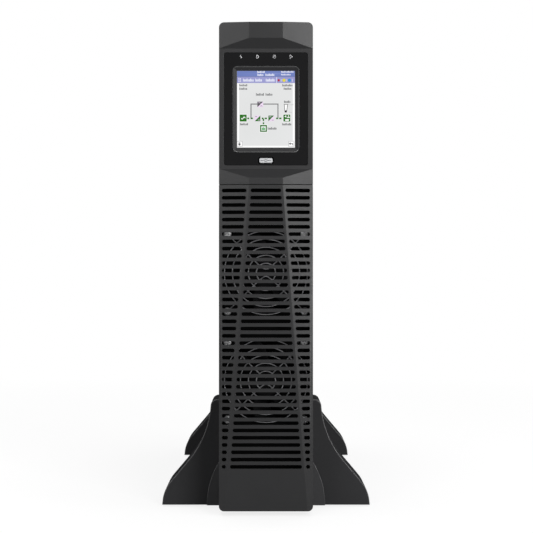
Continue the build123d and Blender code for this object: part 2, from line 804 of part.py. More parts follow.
# Closed block of power electronics between the fans and the rear panel, as high as its vents
module_bottom = chassis_bottom + 2 * (sheet + fit_gap)
with BuildPart() as power_module:
    with BuildSketch(facing_plane(fan_back_y + 2 * module_room)):
        with Locations((0, (module_bottom + vents_high) / 2)):
            Rectangle(pan_width, vents_high - module_bottom)
    extrude(amount=-(panel_y - breaker_depth - fan_back_y - 3 * module_room))
power_module.part.label = "power_module"
export_step(power_module.part, "parts/power_module.step")

# Box-shaped cover over the power terminals, with two scored knock-outs
terminal_z = chassis_bottom + terminal_rise + terminal_height / 2
with BuildPart() as terminal_cover:
    with BuildSketch(facing_plane(rear_y)):
        with Locations((0, terminal_z)):
            Rectangle(terminal_width, terminal_height)
    extrude(amount=terminal_depth - fit_gap)
    chamfer(terminal_cover.faces().sort_by(Axis.Y)[-1].edges(), terminal_edge)
    with BuildSketch(facing_plane(rear_y - sheet)):
        with Locations((0, terminal_z)):
            Rectangle(terminal_width - 2 * sheet, terminal_height - 2 * sheet)
    extrude(amount=terminal_depth, mode=Mode.SUBTRACT)
    with BuildSketch(facing_plane(rear_y)):
        with Locations((0, terminal_z)):
            with GridLocations(0, knockout_pitch, 1, 2):
                RegularPolygon(knockout_radius, guard_sides)
                RegularPolygon(knockout_radius - 2 * knockout_score, guard_sides, mode=Mode.SUBTRACT)
    extrude(amount=knockout_score, mode=Mode.SUBTRACT)
terminal_cover.part.label = "terminal_cover"
export_step(terminal_cover.part, "parts/terminal_cover.step")

# Two-pole input breaker and its handle
with BuildPart() as input_breaker:
    with BuildSketch(facing_plane(panel_y)):
        with Locations((breaker_x, breaker_z)):
            Rectangle(breaker_width, breaker_height)
    extrude(amount=breaker_depth)
    with BuildSketch(facing_plane(panel_y)):
        with Locations((breaker_x, breaker_z)):
            Rectangle(breaker_width, breaker_bar)
    extrude(amount=-connector_proud)
    fillet(input_breaker.faces().sort_by(Axis.Y)[-1].edges().filter_by(Axis.X), 2 * sheet)
input_breaker.part.label = "input_breaker"
export_step(input_breaker.part, "parts/input_breaker.step")

with BuildPart() as breaker_toggle:
    with BuildSketch(Plane.YZ.offset(breaker_x - toggle_width / 2)):
        with BuildLine():
            Polyline(
                (panel_y + connector_proud + fit_gap, breaker_z - 3),
                (panel_y + 2 * connector_proud + 1, breaker_z - 5),
                (panel_y + 2 * connector_proud + 2, breaker_z - 1.5),
                (panel_y + connector_proud + fit_gap, breaker_z + 3),
                close=True,
            )
        make_face()
    extrude(amount=toggle_width)
breaker_toggle.part.label = "breaker_toggle"
export_step(breaker_toggle.part, "parts/breaker_toggle.step")

# External battery connector with two deep sockets
connector_web = (connector_height - 3 * connector_wall) / 2
with BuildPart() as battery_connector:
    with BuildSketch(facing_plane(panel_y + connector_proud)):
        with Locations((connector_x, breaker_z)):
            RectangleRounded(connector_width, connector_height, connector_wall / 2)
    extrude(amount=connector_depth)
    with BuildSketch(facing_plane(panel_y + connector_proud)):
        with Locations((connector_x, breaker_z)):
            with GridLocations(0, connector_web + connector_wall, 1, 2):
                Rectangle(connector_width - 2 * connector_wall, connector_web)
    extrude(amount=connector_depth - connector_wall, mode=Mode.SUBTRACT)
battery_connector.part.label = "battery_connector"
export_step(battery_connector.part, "parts/battery_connector.step")

# Blank plate over the card slot, with two thumb screws
card_z = chassis_top - card_drop
with BuildPart() as card_slot_cover:
    with BuildSketch(facing_plane(panel_y + card_thickness)):
        with Locations((0, card_z)):
            RectangleRounded(card_width, card_height, sheet_bend)
    extrude(amount=card_thickness - fit_gap)
card_slot_cover.part.label = "card_slot_cover"
export_step(card_slot_cover.part, "parts/card_slot_cover.step")

with BuildPart() as thumb_screws:
    with BuildSketch(facing_plane(panel_y + card_thickness + thumb_length)):
        with Locations((0, card_z)):
            with GridLocations(card_width - 4 * thumb_radius, 0, 2, 1):
                RegularPolygon(thumb_radius, 12)
    extrude(amount=thumb_length)
thumb_screws.part.label = "thumb_screws"
export_step(thumb_screws.part, "parts/thumb_screws.step")


def hollow_port(place, size, wall):
    # open-fronted socket shell through the rear panel
    with BuildPart() as port:
        with BuildSketch(facing_plane(panel_y + port_proud)):
            with Locations(place):
                Rectangle(size[0], size[1])
        extrude(amount=port_depth)
        with BuildSketch(facing_plane(panel_y + port_proud)):
            with Locations(place):
                Rectangle(size[0] - 2 * wall, size[1] - 2 * wall)
        extrude(amount=port_depth - wall, mode=Mode.SUBTRACT)
    return port


# Square data socket with the tongue in its middle
usb_port = hollow_port(usb_place, usb_size, port_wall)
with BuildPart() as usb_socket:
    add(usb_port.part)
    with BuildSketch(facing_plane(panel_y + port_proud - port_depth)):
        with Locations(usb_place):
            Rectangle(usb_size[0] / 2, usb_size[1] / 3)
    extrude(amount=-(port_depth - 2 * port_wall))
usb_socket.part.label = "usb_port"
export_step(usb_socket.part, "parts/usb_port.step")

# Network socket
network_port = hollow_port(network_place, network_size, port_wall)
network_port.part.label = "network_port"
export_step(network_port.part, "parts/network_port.step")

# Nine-way serial socket: D-shaped insulator on its flange
with BuildPart() as serial_port:
    with BuildSketch(facing_plane(panel_y + port_proud)):
        with Locations(serial_place):
            RectangleRounded(serial_flange[0], serial_flange[1], port_wall)
    extrude(amount=port_proud - fit_gap)
    with BuildSketch(facing_plane(panel_y + port_proud)):
        with Locations(serial_place):
            Rectangle(serial_size[0], serial_size[1])
    extrude(amount=port_depth)
    with BuildSketch(facing_plane(panel_y + port_proud)):
        with Locations(serial_place):
            Trapezoid(serial_size[0], serial_size[1], 80)
    extrude(amount=-connector_proud)
serial_port.part.label = "serial_port"
export_step(serial_port.part, "parts/serial_port.step")

# Emergency power-off terminal
with BuildPart() as epo_terminal:
    with BuildSketch(facing_plane(panel_y + connector_proud)):
        with Locations(epo_place):
            Rectangle(epo_size[0], epo_size[1])
    extrude(amount=port_depth)
epo_terminal.part.label = "epo_terminal"
export_step(epo_terminal.part, "parts/epo_terminal.step")

# Earth stud with its nut
with BuildPart() as ground_stud:
    with BuildSketch(facing_plane(panel_y + stud_length)):
        with Locations(stud_place):
            Circle(stud_radius)
    extrude(amount=stud_length + 2 * sheet)
    with BuildSketch(facing_plane(panel_y + fit_gap)):
        with Locations(stud_place):
            RegularPolygon(nut_across / 2, 6, major_radius=False)
    extrude(amount=-nut_height)
ground_stud.part.label = "ground_stud"
export_step(ground_stud.part, "parts/ground_stud.step")

# Rubber pads under the feet
with BuildPart() as foot_pads:
    for middle_y in foot_places.values():
        for side in (-1, 1):
            pad_x = side * (chassis_side + foot_reach - pad_inset)
            with BuildSketch(Plane.XY) as pad:
                with Locations((pad_x, middle_y)):
                    Rectangle(pad_width, pad_length)
                    chamfer(pad.vertices(), pad_corner)
            extrude(amount=foot_lift)
foot_pads.part.label = "foot_pads"
export_step(foot_pads.part, "parts/foot_pads.step")
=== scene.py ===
import json
import math

import bmesh
import bpy
import numpy as np
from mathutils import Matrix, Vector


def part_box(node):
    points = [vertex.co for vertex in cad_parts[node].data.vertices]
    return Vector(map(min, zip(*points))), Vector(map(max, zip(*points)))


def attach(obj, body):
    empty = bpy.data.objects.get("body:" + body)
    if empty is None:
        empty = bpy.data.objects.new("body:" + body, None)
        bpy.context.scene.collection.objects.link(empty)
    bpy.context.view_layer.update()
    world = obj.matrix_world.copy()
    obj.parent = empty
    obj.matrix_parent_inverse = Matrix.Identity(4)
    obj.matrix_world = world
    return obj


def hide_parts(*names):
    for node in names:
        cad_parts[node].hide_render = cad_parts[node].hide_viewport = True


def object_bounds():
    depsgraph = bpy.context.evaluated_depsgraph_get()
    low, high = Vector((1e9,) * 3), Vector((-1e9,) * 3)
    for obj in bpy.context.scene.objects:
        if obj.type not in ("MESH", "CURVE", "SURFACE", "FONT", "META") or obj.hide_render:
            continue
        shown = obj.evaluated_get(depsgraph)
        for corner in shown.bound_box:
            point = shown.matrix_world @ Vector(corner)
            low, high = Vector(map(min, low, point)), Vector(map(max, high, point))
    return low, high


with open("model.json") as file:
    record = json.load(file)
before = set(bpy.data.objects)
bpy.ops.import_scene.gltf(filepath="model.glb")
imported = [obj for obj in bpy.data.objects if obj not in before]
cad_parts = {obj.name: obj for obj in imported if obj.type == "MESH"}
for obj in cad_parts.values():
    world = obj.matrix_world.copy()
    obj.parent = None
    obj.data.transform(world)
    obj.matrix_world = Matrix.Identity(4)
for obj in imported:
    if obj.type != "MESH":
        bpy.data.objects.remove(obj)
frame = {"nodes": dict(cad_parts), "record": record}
cadLow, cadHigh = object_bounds()
mm = 0.001
nodes = frame["nodes"]
print("frame loaded:", len(nodes), "CAD nodes")


# Shader writing

class Wire:
    # an output socket of a shader node, so that sums on it read as plain sums
    def __init__(self, maker, socket):
        self.maker = maker
        self.socket = socket

    def sum(self, operation, *values):
        return self.maker.add("Math", {"operation": operation}, values)

    def __add__(self, other):
        return self.sum("ADD", self, other)

    def __sub__(self, other):
        return self.sum("SUBTRACT", self, other)

    def __rsub__(self, other):
        return self.sum("SUBTRACT", other, self)

    def __mul__(self, other):
        return self.sum("MULTIPLY", self, other)

    __radd__ = __add__
    __rmul__ = __mul__


class Finish:
    # one material; what is the same all over goes straight onto the shader's own sockets
    def __init__(self, name, constants, tree=None):
        if tree is None:
            self.material = bpy.data.materials.new(name)
            self.material.use_nodes = True
            tree = self.material.node_tree
        self.tree = tree
        self.shader = tree.nodes.get("Principled BSDF")
        for socket, value in constants.items():
            self.shader.inputs[socket].default_value = value

    def feed(self, socket, value):
        if isinstance(value, Wire):
            self.tree.links.new(value.socket, socket)
        else:
            socket.default_value = value

    def add(self, kind, settings=None, values=(), output=0):
        # any node: its type, its settings first, then the values or links of its sockets
        node = self.tree.nodes.new("ShaderNode" + kind)
        for name, value in (settings or {}).items():
            setattr(node, name, value)
        named = values if isinstance(values, dict) else dict(enumerate(values))
        for key, value in named.items():
            self.feed(node.inputs[key], value)
        return Wire(self, node.outputs[output])

    def place(self):
        return self.add("TexCoord", output="Object")

    def noise(self, size, detail=2.0, roughness=0.5):
        # cloudy value around 0.5 whose lumps measure about size
        return self.add("TexNoise", {}, {"Vector": self.place(), "Scale": 1 / size,
                                         "Detail": detail, "Roughness": roughness})

    def mix(self, share, first, second):
        return self.add("Mix", {"data_type": "RGBA"}, {0: share, 6: first, 7: second}, output=2)

    def bump(self, height, depth):
        self.feed(self.shader.inputs["Normal"],
                  self.add("Bump", {}, {"Distance": depth, "Height": height}))

    def clouded(self, colour, darker, lighter, size, detail=3.0, roughness=0.5):
        # the colour drifts between a darker and a lighter shade of itself; gives back the cloud
        cloud = self.noise(size, detail, roughness)
        self.set(Base_Color=self.mix(cloud, shade(colour, darker), shade(colour, lighter)))
        return cloud

    def shine(self, cloud, roughness, spread):
        # roughness that drifts with a cloud, to both sides of its middle value
        self.set(Roughness=cloud * spread + (roughness - spread / 2))

    def set(self, **wires):
        for name, value in wires.items():
            self.feed(self.shader.inputs[name.replace("_", " ")], value)


def paint(red, green, blue):
    # screen colour from 0 to 255, as the linear values that shaders use
    shares = np.array([red, green, blue]) / 255
    linear = np.where(shares <= 0.04045, shares / 12.92, ((shares + 0.055) / 1.055) ** 2.4)
    return (*linear.tolist(), 1.0)


def shade(colour, factor):
    return (*[channel * factor for channel in colour[:3]], 1.0)


def mouldedPlastic(name, colour, roughness, specular, grain, depth):
    # spark-eroded plastic: fine grain in the surface, faint cloudy change of colour and shine
    finish = Finish(name, {"Specular IOR Level": specular})
    cloud = finish.clouded(colour, 0.94, 1.06, size=0.03)
    finish.shine(cloud, roughness, spread=0.10)
    finish.bump(finish.noise(grain, 3.0, 0.6), depth)
    return finish.material


def glossPlastic(name, colour, roughness, specular):
    # polished plastic with a barely wavy face and faint wiping haze
    finish = Finish(name, {"Specular IOR Level": specular})
    haze = finish.clouded(colour, 0.92, 1.08, size=0.012, detail=5.0, roughness=0.65)
    finish.shine(haze, roughness, spread=0.10)
    finish.bump(finish.noise(0.02, 1.0), 0.00001)
    return finish.material


def powderCoat(name, colour, roughness, specular):
    # baked paint on steel: orange peel about a millimetre across with finer grit on it
    finish = Finish(name, {"Specular IOR Level": specular})
    finish.clouded(colour, 0.93, 1.07, size=0.05)
    grit = finish.noise(0.0004)
    finish.shine(grit, roughness, spread=0.12)
    finish.bump(finish.noise(0.0013) + grit * 0.5, 0.00006)
    return finish.material


def platedMetal(name, colour, roughness, metallic):
    # plated metal with fine drawing marks and clouded plating
    finish = Finish(name, {"Metallic": metallic})
    cloud = finish.clouded(colour, 0.85, 1.1, size=0.004, detail=4.0)
    finish.shine(cloud, roughness, spread=0.2)
    finish.bump(finish.noise(0.0003, 3.0), 0.00001)
    return finish.material


def litInk(name, colour):
    # colour shown by the lit screen, a touch dimmer where the backlight fades unevenly
    finish = Finish(name, {"Base Color": shade(colour, 0.02), "Roughness": 0.35,
                           "Specular IOR Level": 0.2, "Emission Strength": 1.0})
    cloud = finish.noise(0.03, 1.0)
    finish.set(Emission_Color=finish.mix(cloud, shade(colour, 0.96), shade(colour, 1.02)))
    return finish.material


def camelName(name):
    # a node's or slot's name in this script's own spelling
    first, *rest = name.split("_")
    return first + "".join(word.capitalize() for word in rest)


# Finishes by the record's slots. Plastics: colour, roughness, specular, size and depth of the grain
plastics = {
    "cover_plastic": (paint(25, 25, 26), 0.3, 0.22, 0.0004, 0.000008),
    "border_plastic": (paint(25, 25, 26), 0.34, 0.22, 0.0003, 0.000002),
    "key_plastic": (paint(172, 173, 175), 0.35, 0.4, 0.0003, 0.00001),
    "black_plastic": (paint(9, 9, 10), 0.6, 0.08, 0.0005, 0.00002),
    "foot_plastic": (paint(47, 47, 48), 0.6, 0.0, 0.0006, 0.00002),
    "pad_rubber": (paint(22, 22, 23), 0.85, 0.2, 0.0008, 0.00006),
    "breaker_plastic": (paint(38, 38, 40), 0.4, 0.4, 0.0003, 0.00001),
    "connector_plastic": (paint(150, 30, 28), 0.45, 0.4, 0.0004, 0.00002),
    "terminal_plastic": (paint(34, 92, 52), 0.45, 0.4, 0.0003, 0.00001),
}
metals = {      # colour, roughness and how metallic
    "guard_wire": (paint(136, 136, 138), 0.4, 1.0),
    "screw_steel": (paint(190, 190, 191), 0.42, 0.6),
    "port_metal": (paint(190, 190, 192), 0.3, 1.0),
    "stud_brass": (paint(205, 165, 90), 0.32, 1.0),
}
finishes = {slot: mouldedPlastic(camelName(slot), *look) for slot, look in plastics.items()}
finishes |= {slot: platedMetal(camelName(slot), *look) for slot, look in metals.items()}
finishes["gloss_panel"] = glossPlastic("glossPanel", paint(9, 9, 10), 0.19, 0.08)
finishes["screen_glass"] = litInk("screenLight", paint(222, 223, 223))
finishes["chassis_paint"] = powderCoat("chassisPaint", paint(34, 34, 35), 0.6, 0.3)
print("finishes made:", len(finishes))


# Mesh writing

def boxOf(node, unit=1.0):
    # lowest corner, highest corner and middle of a CAD node, in metres unless a unit is given
    low, high = (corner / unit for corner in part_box(node))
    return low, high, (low + high) / 2


def gridFaces(rows, columns, wrapRows=False, wrapColumns=False):
    # four corners of every cell of a grid of points that is stored row by row
    row, column = np.meshgrid(np.arange(rows - (not wrapRows)),
                              np.arange(columns - (not wrapColumns)), indexing="ij")
    nextRow, nextColumn = (row + 1) % rows, (column + 1) % columns
    corners = [row * columns + column, row * columns + nextColumn,
               nextRow * columns + nextColumn, nextRow * columns + column]
    return np.stack(corners, axis=-1).reshape(-1, 4).tolist()


def joined(parts):
    # several shapes as one: the faces of each count on from the points before it
    points, faces, count = [], [], 0
    for partPoints, partFaces in parts:
        points.append(np.asarray(partPoints, float).reshape(-1, 3))
        faces += [[corner + count for corner in face] for face in partFaces]
        count += len(points[-1])
    return np.concatenate(points), faces


def moved(shape, x=0.0, y=0.0, z=0.0):
    return shape[0] + np.array([x, y, z]), shape[1]


def lineWays(line, closed):
    # unit arrows at each corner of a line: along the leg ahead, and halfway between its two legs
    ahead = np.roll(line, -1, axis=0) - line
    behind = line - np.roll(line, 1, axis=0)
    if not closed:
        ahead[-1], behind[0] = behind[-1], ahead[0]
    ahead /= np.linalg.norm(ahead, axis=1)[:, None]
    along = ahead + behind / np.linalg.norm(behind, axis=1)[:, None]
    return ahead, along / np.linalg.norm(along, axis=1)[:, None]


def wire(path, radius, sides, closed):
    # a circle carried along a flat path in X and Z: centre + radius * (cos a * across - sin a * Y)
    along = lineWays(path, closed)[1]
    across = np.stack([along[:, 2], np.zeros(len(path)), -along[:, 0]], axis=1)
    turn = np.linspace(0, 2 * math.pi, sides, endpoint=False)
    ring = np.cos(turn)[None, :, None] * across[:, None, :]
    ring = ring - np.sin(turn)[None, :, None] * np.array([0.0, 1.0, 0.0])
    points = (path[:, None, :] + radius * ring).reshape(-1, 3)
    faces = gridFaces(len(path), sides, closed, True)
    if not closed:
        last = (len(path) - 1) * sides
        faces += [list(range(sides)), list(range(last + sides - 1, last - 1, -1))]
    return points, faces


def circlePath(radius, steps, x=0.0, z=0.0):
    turn = np.linspace(0, 2 * math.pi, steps, endpoint=False)
    return np.stack([x + radius * np.cos(turn), np.zeros(steps), z + radius * np.sin(turn)], axis=1)


def turned(profile, sides):
    # pairs of radius and depth turned about the Y axis; the ends lie on the axis
    profile = np.array(profile, float)
    turn = np.linspace(0, 2 * math.pi, sides, endpoint=False)
    x = profile[:, 0, None] * np.cos(turn)
    z = profile[:, 0, None] * np.sin(turn)
    y = np.repeat(profile[:, 1, None], sides, axis=1)
    points = np.stack([x, y, z], axis=-1).reshape(-1, 3)
    return points, gridFaces(len(profile), sides, False, True)


def placePiece(name, mesh, slotName, body="root", stands=(), finish=None, sharp=35):
    # edges above the sharp angle, in degrees, stay hard; stands names the CAD nodes it replaces
    mesh.shade_smooth()
    mesh.set_sharp_from_angle(angle=math.radians(sharp))
    mesh.materials.append(finish or finishes[slotName])
    piece = bpy.data.objects.new(name, mesh)
    bpy.context.scene.collection.objects.link(piece)
    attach(piece, body)
    if stands:
        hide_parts(*stands)
    return piece


def makePiece(name, shape, slotName, closed=True, **placing):
    # a closed shape has its doubled points merged and its faces turned outwards
    points, faces = shape
    mesh = bpy.data.meshes.new(name)
    mesh.from_pydata(points.tolist(), [], faces)
    if closed:
        work = bmesh.new()
        work.from_mesh(mesh)
        bmesh.ops.remove_doubles(work, verts=work.verts, dist=1e-7)
        bmesh.ops.recalc_face_normals(work, faces=work.faces)
        work.to_mesh(mesh)
        work.free()
    return placePiece(name, mesh, slotName, **placing)


def leanNormals(mesh):
    # a point's normal is the sum of its faces' normals by area, so that flat faces look flat
    corners = np.empty(len(mesh.loops), dtype=np.int32)
    mesh.loops.foreach_get("vertex_index", corners)
    counts = np.empty(len(mesh.polygons), dtype=np.int32)
    mesh.polygons.foreach_get("loop_total", counts)
    areas = np.empty(len(mesh.polygons))
    mesh.polygons.foreach_get("area", areas)
    facing = np.empty(len(mesh.polygons) * 3)
    mesh.polygons.foreach_get("normal", facing)
    total = np.zeros((len(mesh.vertices), 3))
    pulls = facing.reshape(-1, 3) * areas[:, None]
    np.add.at(total, corners, np.repeat(pulls, counts, axis=0))
    total /= np.maximum(np.linalg.norm(total, axis=1), 1e-20)[:, None]
    mesh.normals_split_custom_set_from_vertices(total.tolist())


# Slots of the cover, a little higher than in the solid, as in the photo. What lies within reach of
# a row's middle line, in half slot heights, is a corner of its slots
slotSizes = {"rows": 39, "lowest": 45.0 * mm, "highest": 297.4 * mm, "height": 3.1 * mm,
             "seenHeight": 3.42 * mm, "reach": 1.03}


def widenSlots(mesh):
    # every corner of a slot moves away from its middle line, by the same share of its distance
    sizes = slotSizes
    points = np.empty(len(mesh.vertices) * 3)
    mesh.vertices.foreach_get("co", points)
    points = points.reshape(-1, 3)
    pitch = (sizes["highest"] - sizes["lowest"]) / (sizes["rows"] - 1)
    row = np.clip(np.rint((points[:, 2] - sizes["lowest"]) / pitch), 0, sizes["rows"] - 1)
    middle = sizes["lowest"] + row * pitch
    offset = points[:, 2] - middle
    inSlot = np.abs(offset) < sizes["height"] / 2 * sizes["reach"]
    points[:, 2] = middle + offset * np.where(inSlot, sizes["seenHeight"] / sizes["height"], 1.0)
    mesh.vertices.foreach_set("co", points.ravel())


# Rounding of hard edges. corner and fold are the angles, in degrees, above which an edge between
# two faces is rounded; faces that differ by less than flat are merged first
edgeRule = {"corner": 28, "fold": 3, "flat": 0.3, "facing": 0.85, "cheek": 0.1 * mm}
softEdges = {      # width of the rounding on each solid, in millimetres
    "grille_cover": 0.1, "display_surround": 0.25, "display_panel": 0.15, "screen_border": 0.08,
    "power_button": 0.25, "front_foot_left": 0.5, "front_foot_right": 0.5, "rear_foot_left": 0.5,
    "rear_foot_right": 0.5, "chassis_tray": 0.35, "chassis_cover": 0.25, "rear_panel": 0.12,
    "terminal_cover": 0.4, "input_breaker": 0.5, "breaker_toggle": 0.4, "battery_connector": 0.35,
    "card_slot_cover": 0.3, "network_port": 0.15, "usb_port": 0.15, "serial_port": 0.2,
    "epo_terminal": 0.25, "ground_stud": 0.15, "fan_frame_lower": 0.25, "fan_frame_upper": 0.25,
}


def softened(name, node, slotName, edge, body="root", creases=False, paintedLightFinishes=()):
    # the CAD solid with its loose triangles merged and its hard edges rounded. creases also takes
    # in the shallow folds between two faces that both look forwards. The extra finishes are lighter
    # ones: a painted highlight on the roundings and painted light on what stands out furthest to
    # the front. Inner edges of moving pieces stay sharp, so that nothing fills their clearances
    mesh = nodes[node].data.copy()
    mesh.name = name
    mesh.materials.clear()
    if node == "grille_cover":
        widenSlots(mesh)
    work = bmesh.new()
    work.from_mesh(mesh)
    bmesh.ops.remove_doubles(work, verts=work.verts, dist=1e-6)
    bmesh.ops.dissolve_limit(work, angle_limit=math.radians(edgeRule["flat"]),
                             verts=work.verts, edges=work.edges)

    def hard(line):
        if len(line.link_faces) != 2 or (body != "root" and not line.is_convex):
            return False
        forwards = all(face.normal.y < -edgeRule["facing"] for face in line.link_faces)
        limit = edgeRule["fold" if creases and forwards else "corner"]
        return line.calc_face_angle() > math.radians(limit)

    rounded = bmesh.ops.bevel(work, geom=[line for line in work.edges if hard(line)],
                              offset=edge, offset_type="OFFSET", segments=2, profile=0.5,
                              affect="EDGES", clamp_overlap=True)
    # painted light on the feet: the foremost faces take the lighter third finish, and the roundings
    # take the lighter second one as a painted highlight
    if paintedLightFinishes:
        foremost = min(point.co.y for point in work.verts) + edgeRule["cheek"]
        for face in work.faces:
            face.material_index = 2 if face.calc_center_median().y < foremost else 0
        for face in rounded["faces"]:
            face.material_index = 1
    work.to_mesh(mesh)
    work.free()
    placePiece(name, mesh, slotName, body, [node], sharp=180)
    for finish in paintedLightFinishes:
        mesh.materials.append(finish)
    leanNormals(mesh)


# CAD nodes keep their solids and take their finish from the record's slots
for subpart in frame["record"]["subparts"]:
    nodes[subpart["node"]].data.materials.clear()
    nodes[subpart["node"]].data.materials.append(finishes[subpart["material_slot"]])
# the front plate and the power module behind the slots are painted near black, darker than their
# own paint: a painted shade for the dark seen through the slots
insideBlack = powderCoat("insideBlack", paint(9, 9, 9), 0.85, 0.04)
nodes["front_plate"].data.materials[0] = insideBlack
nodes["power_module"].data.materials[0] = insideBlack
print("CAD nodes painted")

# finishes of the feet's rounded rims, a painted highlight that also shines a little, and of their
# raised cheeks, painted lighter as painted light
footPaintedLight = [mouldedPlastic("footRim", paint(75, 75, 76), 0.3, 0.5, 0.0006, 0.00001),
              mouldedPlastic("footCheek", paint(58, 58, 59), 0.6, 0.0, 0.0006, 0.00002)]
for subpart in frame["record"]["subparts"]:
    node = subpart["node"]
    if node in softEdges:
        softened(camelName(node), node, subpart["material_slot"], softEdges[node] * mm,
                 body="power_key" if node == "power_button" else "root",
                 creases=node in ("grille_cover", "display_surround"),
                 paintedLightFinishes=footPaintedLight if "foot" in node else ())
print("edges rounded:", len(softEdges))


# Wire guards: five rings on two V-shaped stays that end in eyelets
guardSizes = {"wire": 0.6 * mm, "inset": 0.87 * mm, "innerRing": 8.9 * mm, "ringPitch": 7.43 * mm,
              "rings": 5, "stayBend": 3.3 * mm, "holePitch": 71.5 * mm, "eyelet": 3.2 * mm,
              "sides": 10, "ringSteps": 96, "staySteps": 61, "eyeletSteps": 32}


def fourHoles(pitch):
    # a square pattern of holes, as x and z from its middle
    return [(x * pitch / 2, z * pitch / 2) for x in (-1, 1) for z in (-1, 1)]


def fanGuard(place):
    sizes = guardSizes
    low, high, middle = boxOf(f"fan_guard_{place}")
    ringY, stayY = low.y + sizes["inset"], high.y - sizes["inset"]
    parts = []

    def bend(path, y, closed=True):
        parts.append(moved(wire(path, sizes["wire"], sizes["sides"], closed), y=y, z=middle.z))

    for ring in range(sizes["rings"]):
        radius = sizes["innerRing"] + ring * sizes["ringPitch"]
        bend(circlePath(radius, sizes["ringSteps"]), ringY)
    # a stay's height over the axis is the square root of x squared plus the bend squared
    reach = sizes["holePitch"] / 2 - sizes["eyelet"] * math.sqrt(0.5)
    x = np.linspace(-reach, reach, sizes["staySteps"])
    for side in (-1, 1):
        height = side * np.sqrt(x ** 2 + sizes["stayBend"] ** 2)
        bend(np.stack([x, np.zeros(len(x)), height], axis=1), stayY, closed=False)
    for x, z in fourHoles(sizes["holePitch"]):
        bend(circlePath(sizes["eyelet"], sizes["eyeletSteps"], x, z), stayY)
    makePiece(f"fanGuard{place.capitalize()}", joined(parts), "guard_wire",
              stands=[f"fan_guard_{place}"])


for place in ("lower", "upper"):
    fanGuard(place)


# Screws: a pan head with a cross recess, on a plain shank
screwSizes = {"headRadius": 3.8 * mm, "headHeight": 2.4 * mm, "shankRadius": 1.9 * mm,
              "shankLength": 6.0 * mm, "crossHalf": 0.48 * mm, "crossReach": 2.1 * mm,
              "crossDepth": 1.3 * mm, "steps": 28}
# what all heads share: the rim's share of the height; where the recess begins beside the cross's
# middle line, in half widths, and how wide its side and end walls are, as shares of half and reach
headForm = {"rim": 0.35, "recessFrom": 1.25, "sideWall": 0.4, "endWall": 0.35, "shankSides": 20}


def panHead(sizes):
    # a square grid bent onto a disc; its height is a flattened dome less a cross-shaped pocket
    form, radius = headForm, sizes["headRadius"]
    line = np.linspace(-1, 1, sizes["steps"] + 1)
    u, v = np.meshgrid(line, line, indexing="ij")
    x = u * np.sqrt(1 - v ** 2 / 2)
    z = v * np.sqrt(1 - u ** 2 / 2)
    share = np.clip(x ** 2 + z ** 2, 0, 1)
    rise = np.sqrt(np.clip(1 - share ** 2, 0, 1))
    dome = sizes["headHeight"] * (form["rim"] + (1 - form["rim"]) * rise)
    half, reach = sizes["crossHalf"] / radius, sizes["crossReach"] / radius

    def bar(along, across):
        beside = (half * form["recessFrom"] - np.abs(across)) / (half * form["sideWall"])
        before = (reach - np.abs(along)) / (reach * form["endWall"])
        return np.clip(beside, 0, 1) * np.clip(before, 0, 1)

    pocket = sizes["crossDepth"] * np.maximum(bar(x, z), bar(z, x))
    top = np.stack([x * radius, pocket - dome, z * radius], axis=-1).reshape(-1, 3)
    base = top * np.array([1.0, 0.0, 1.0])
    faces = gridFaces(*u.shape)
    points, faces = joined([(top, faces), (base, [face[::-1] for face in faces])])
    # the rim of the dome stands on the rim of the base
    index = np.arange(u.size).reshape(u.shape)
    rim = [*index[0], *index[1:, -1], *index[-1, -2::-1], *index[-2:0:-1, 0]]
    rim = [int(corner) for corner in rim]
    walls = [[a, b, b + u.size, a + u.size] for a, b in zip(rim, rim[1:] + rim[:1])]
    return points, faces + walls


def screwShape(sizes):
    radius, length = sizes["shankRadius"], sizes["shankLength"]
    shank = turned([(0, 0), (radius, 0), (radius, length), (0, length)], headForm["shankSides"])
    return joined([panHead(sizes), shank])


def fanScrews():
    y = boxOf("fan_screws")[0].y + screwSizes["headHeight"]
    parts = []
    for place in ("lower", "upper"):
        middle = boxOf(f"fan_guard_{place}")[2]
        parts += [moved(screwShape(screwSizes), x, y, middle.z + z)
                  for x, z in fourHoles(guardSizes["holePitch"])]
    makePiece("fanScrews", joined(parts), "screw_steel", stands=["fan_screws"])


fanScrews()
print("guards and screws made")


# Fan rotors: a rounded hub with seven twisted, swept blades. Pitch and sweep in degrees
rotorSizes = {"hub": 16.0 * mm, "hubLength": 17.0 * mm, "hubSides": 72, "shaft": 1.5 * mm,
              "rounding": 2.0 * mm, "dish": 10.0 * mm, "dishDepth": 0.5 * mm, "bevel": 0.4 * mm,
              "rootRadius": 15.4 * mm, "tipRadius": 37.0 * mm, "rootChord": 16.0 * mm,
              "tipChord": 25.0 * mm, "rootPitch": 44.0, "tipPitch": 27.0, "sweep": 14.0,
              "thickness": 1.3 * mm, "camber": 0.11, "blades": 7, "alongBlade": 14,
              "acrossBlade": 18}


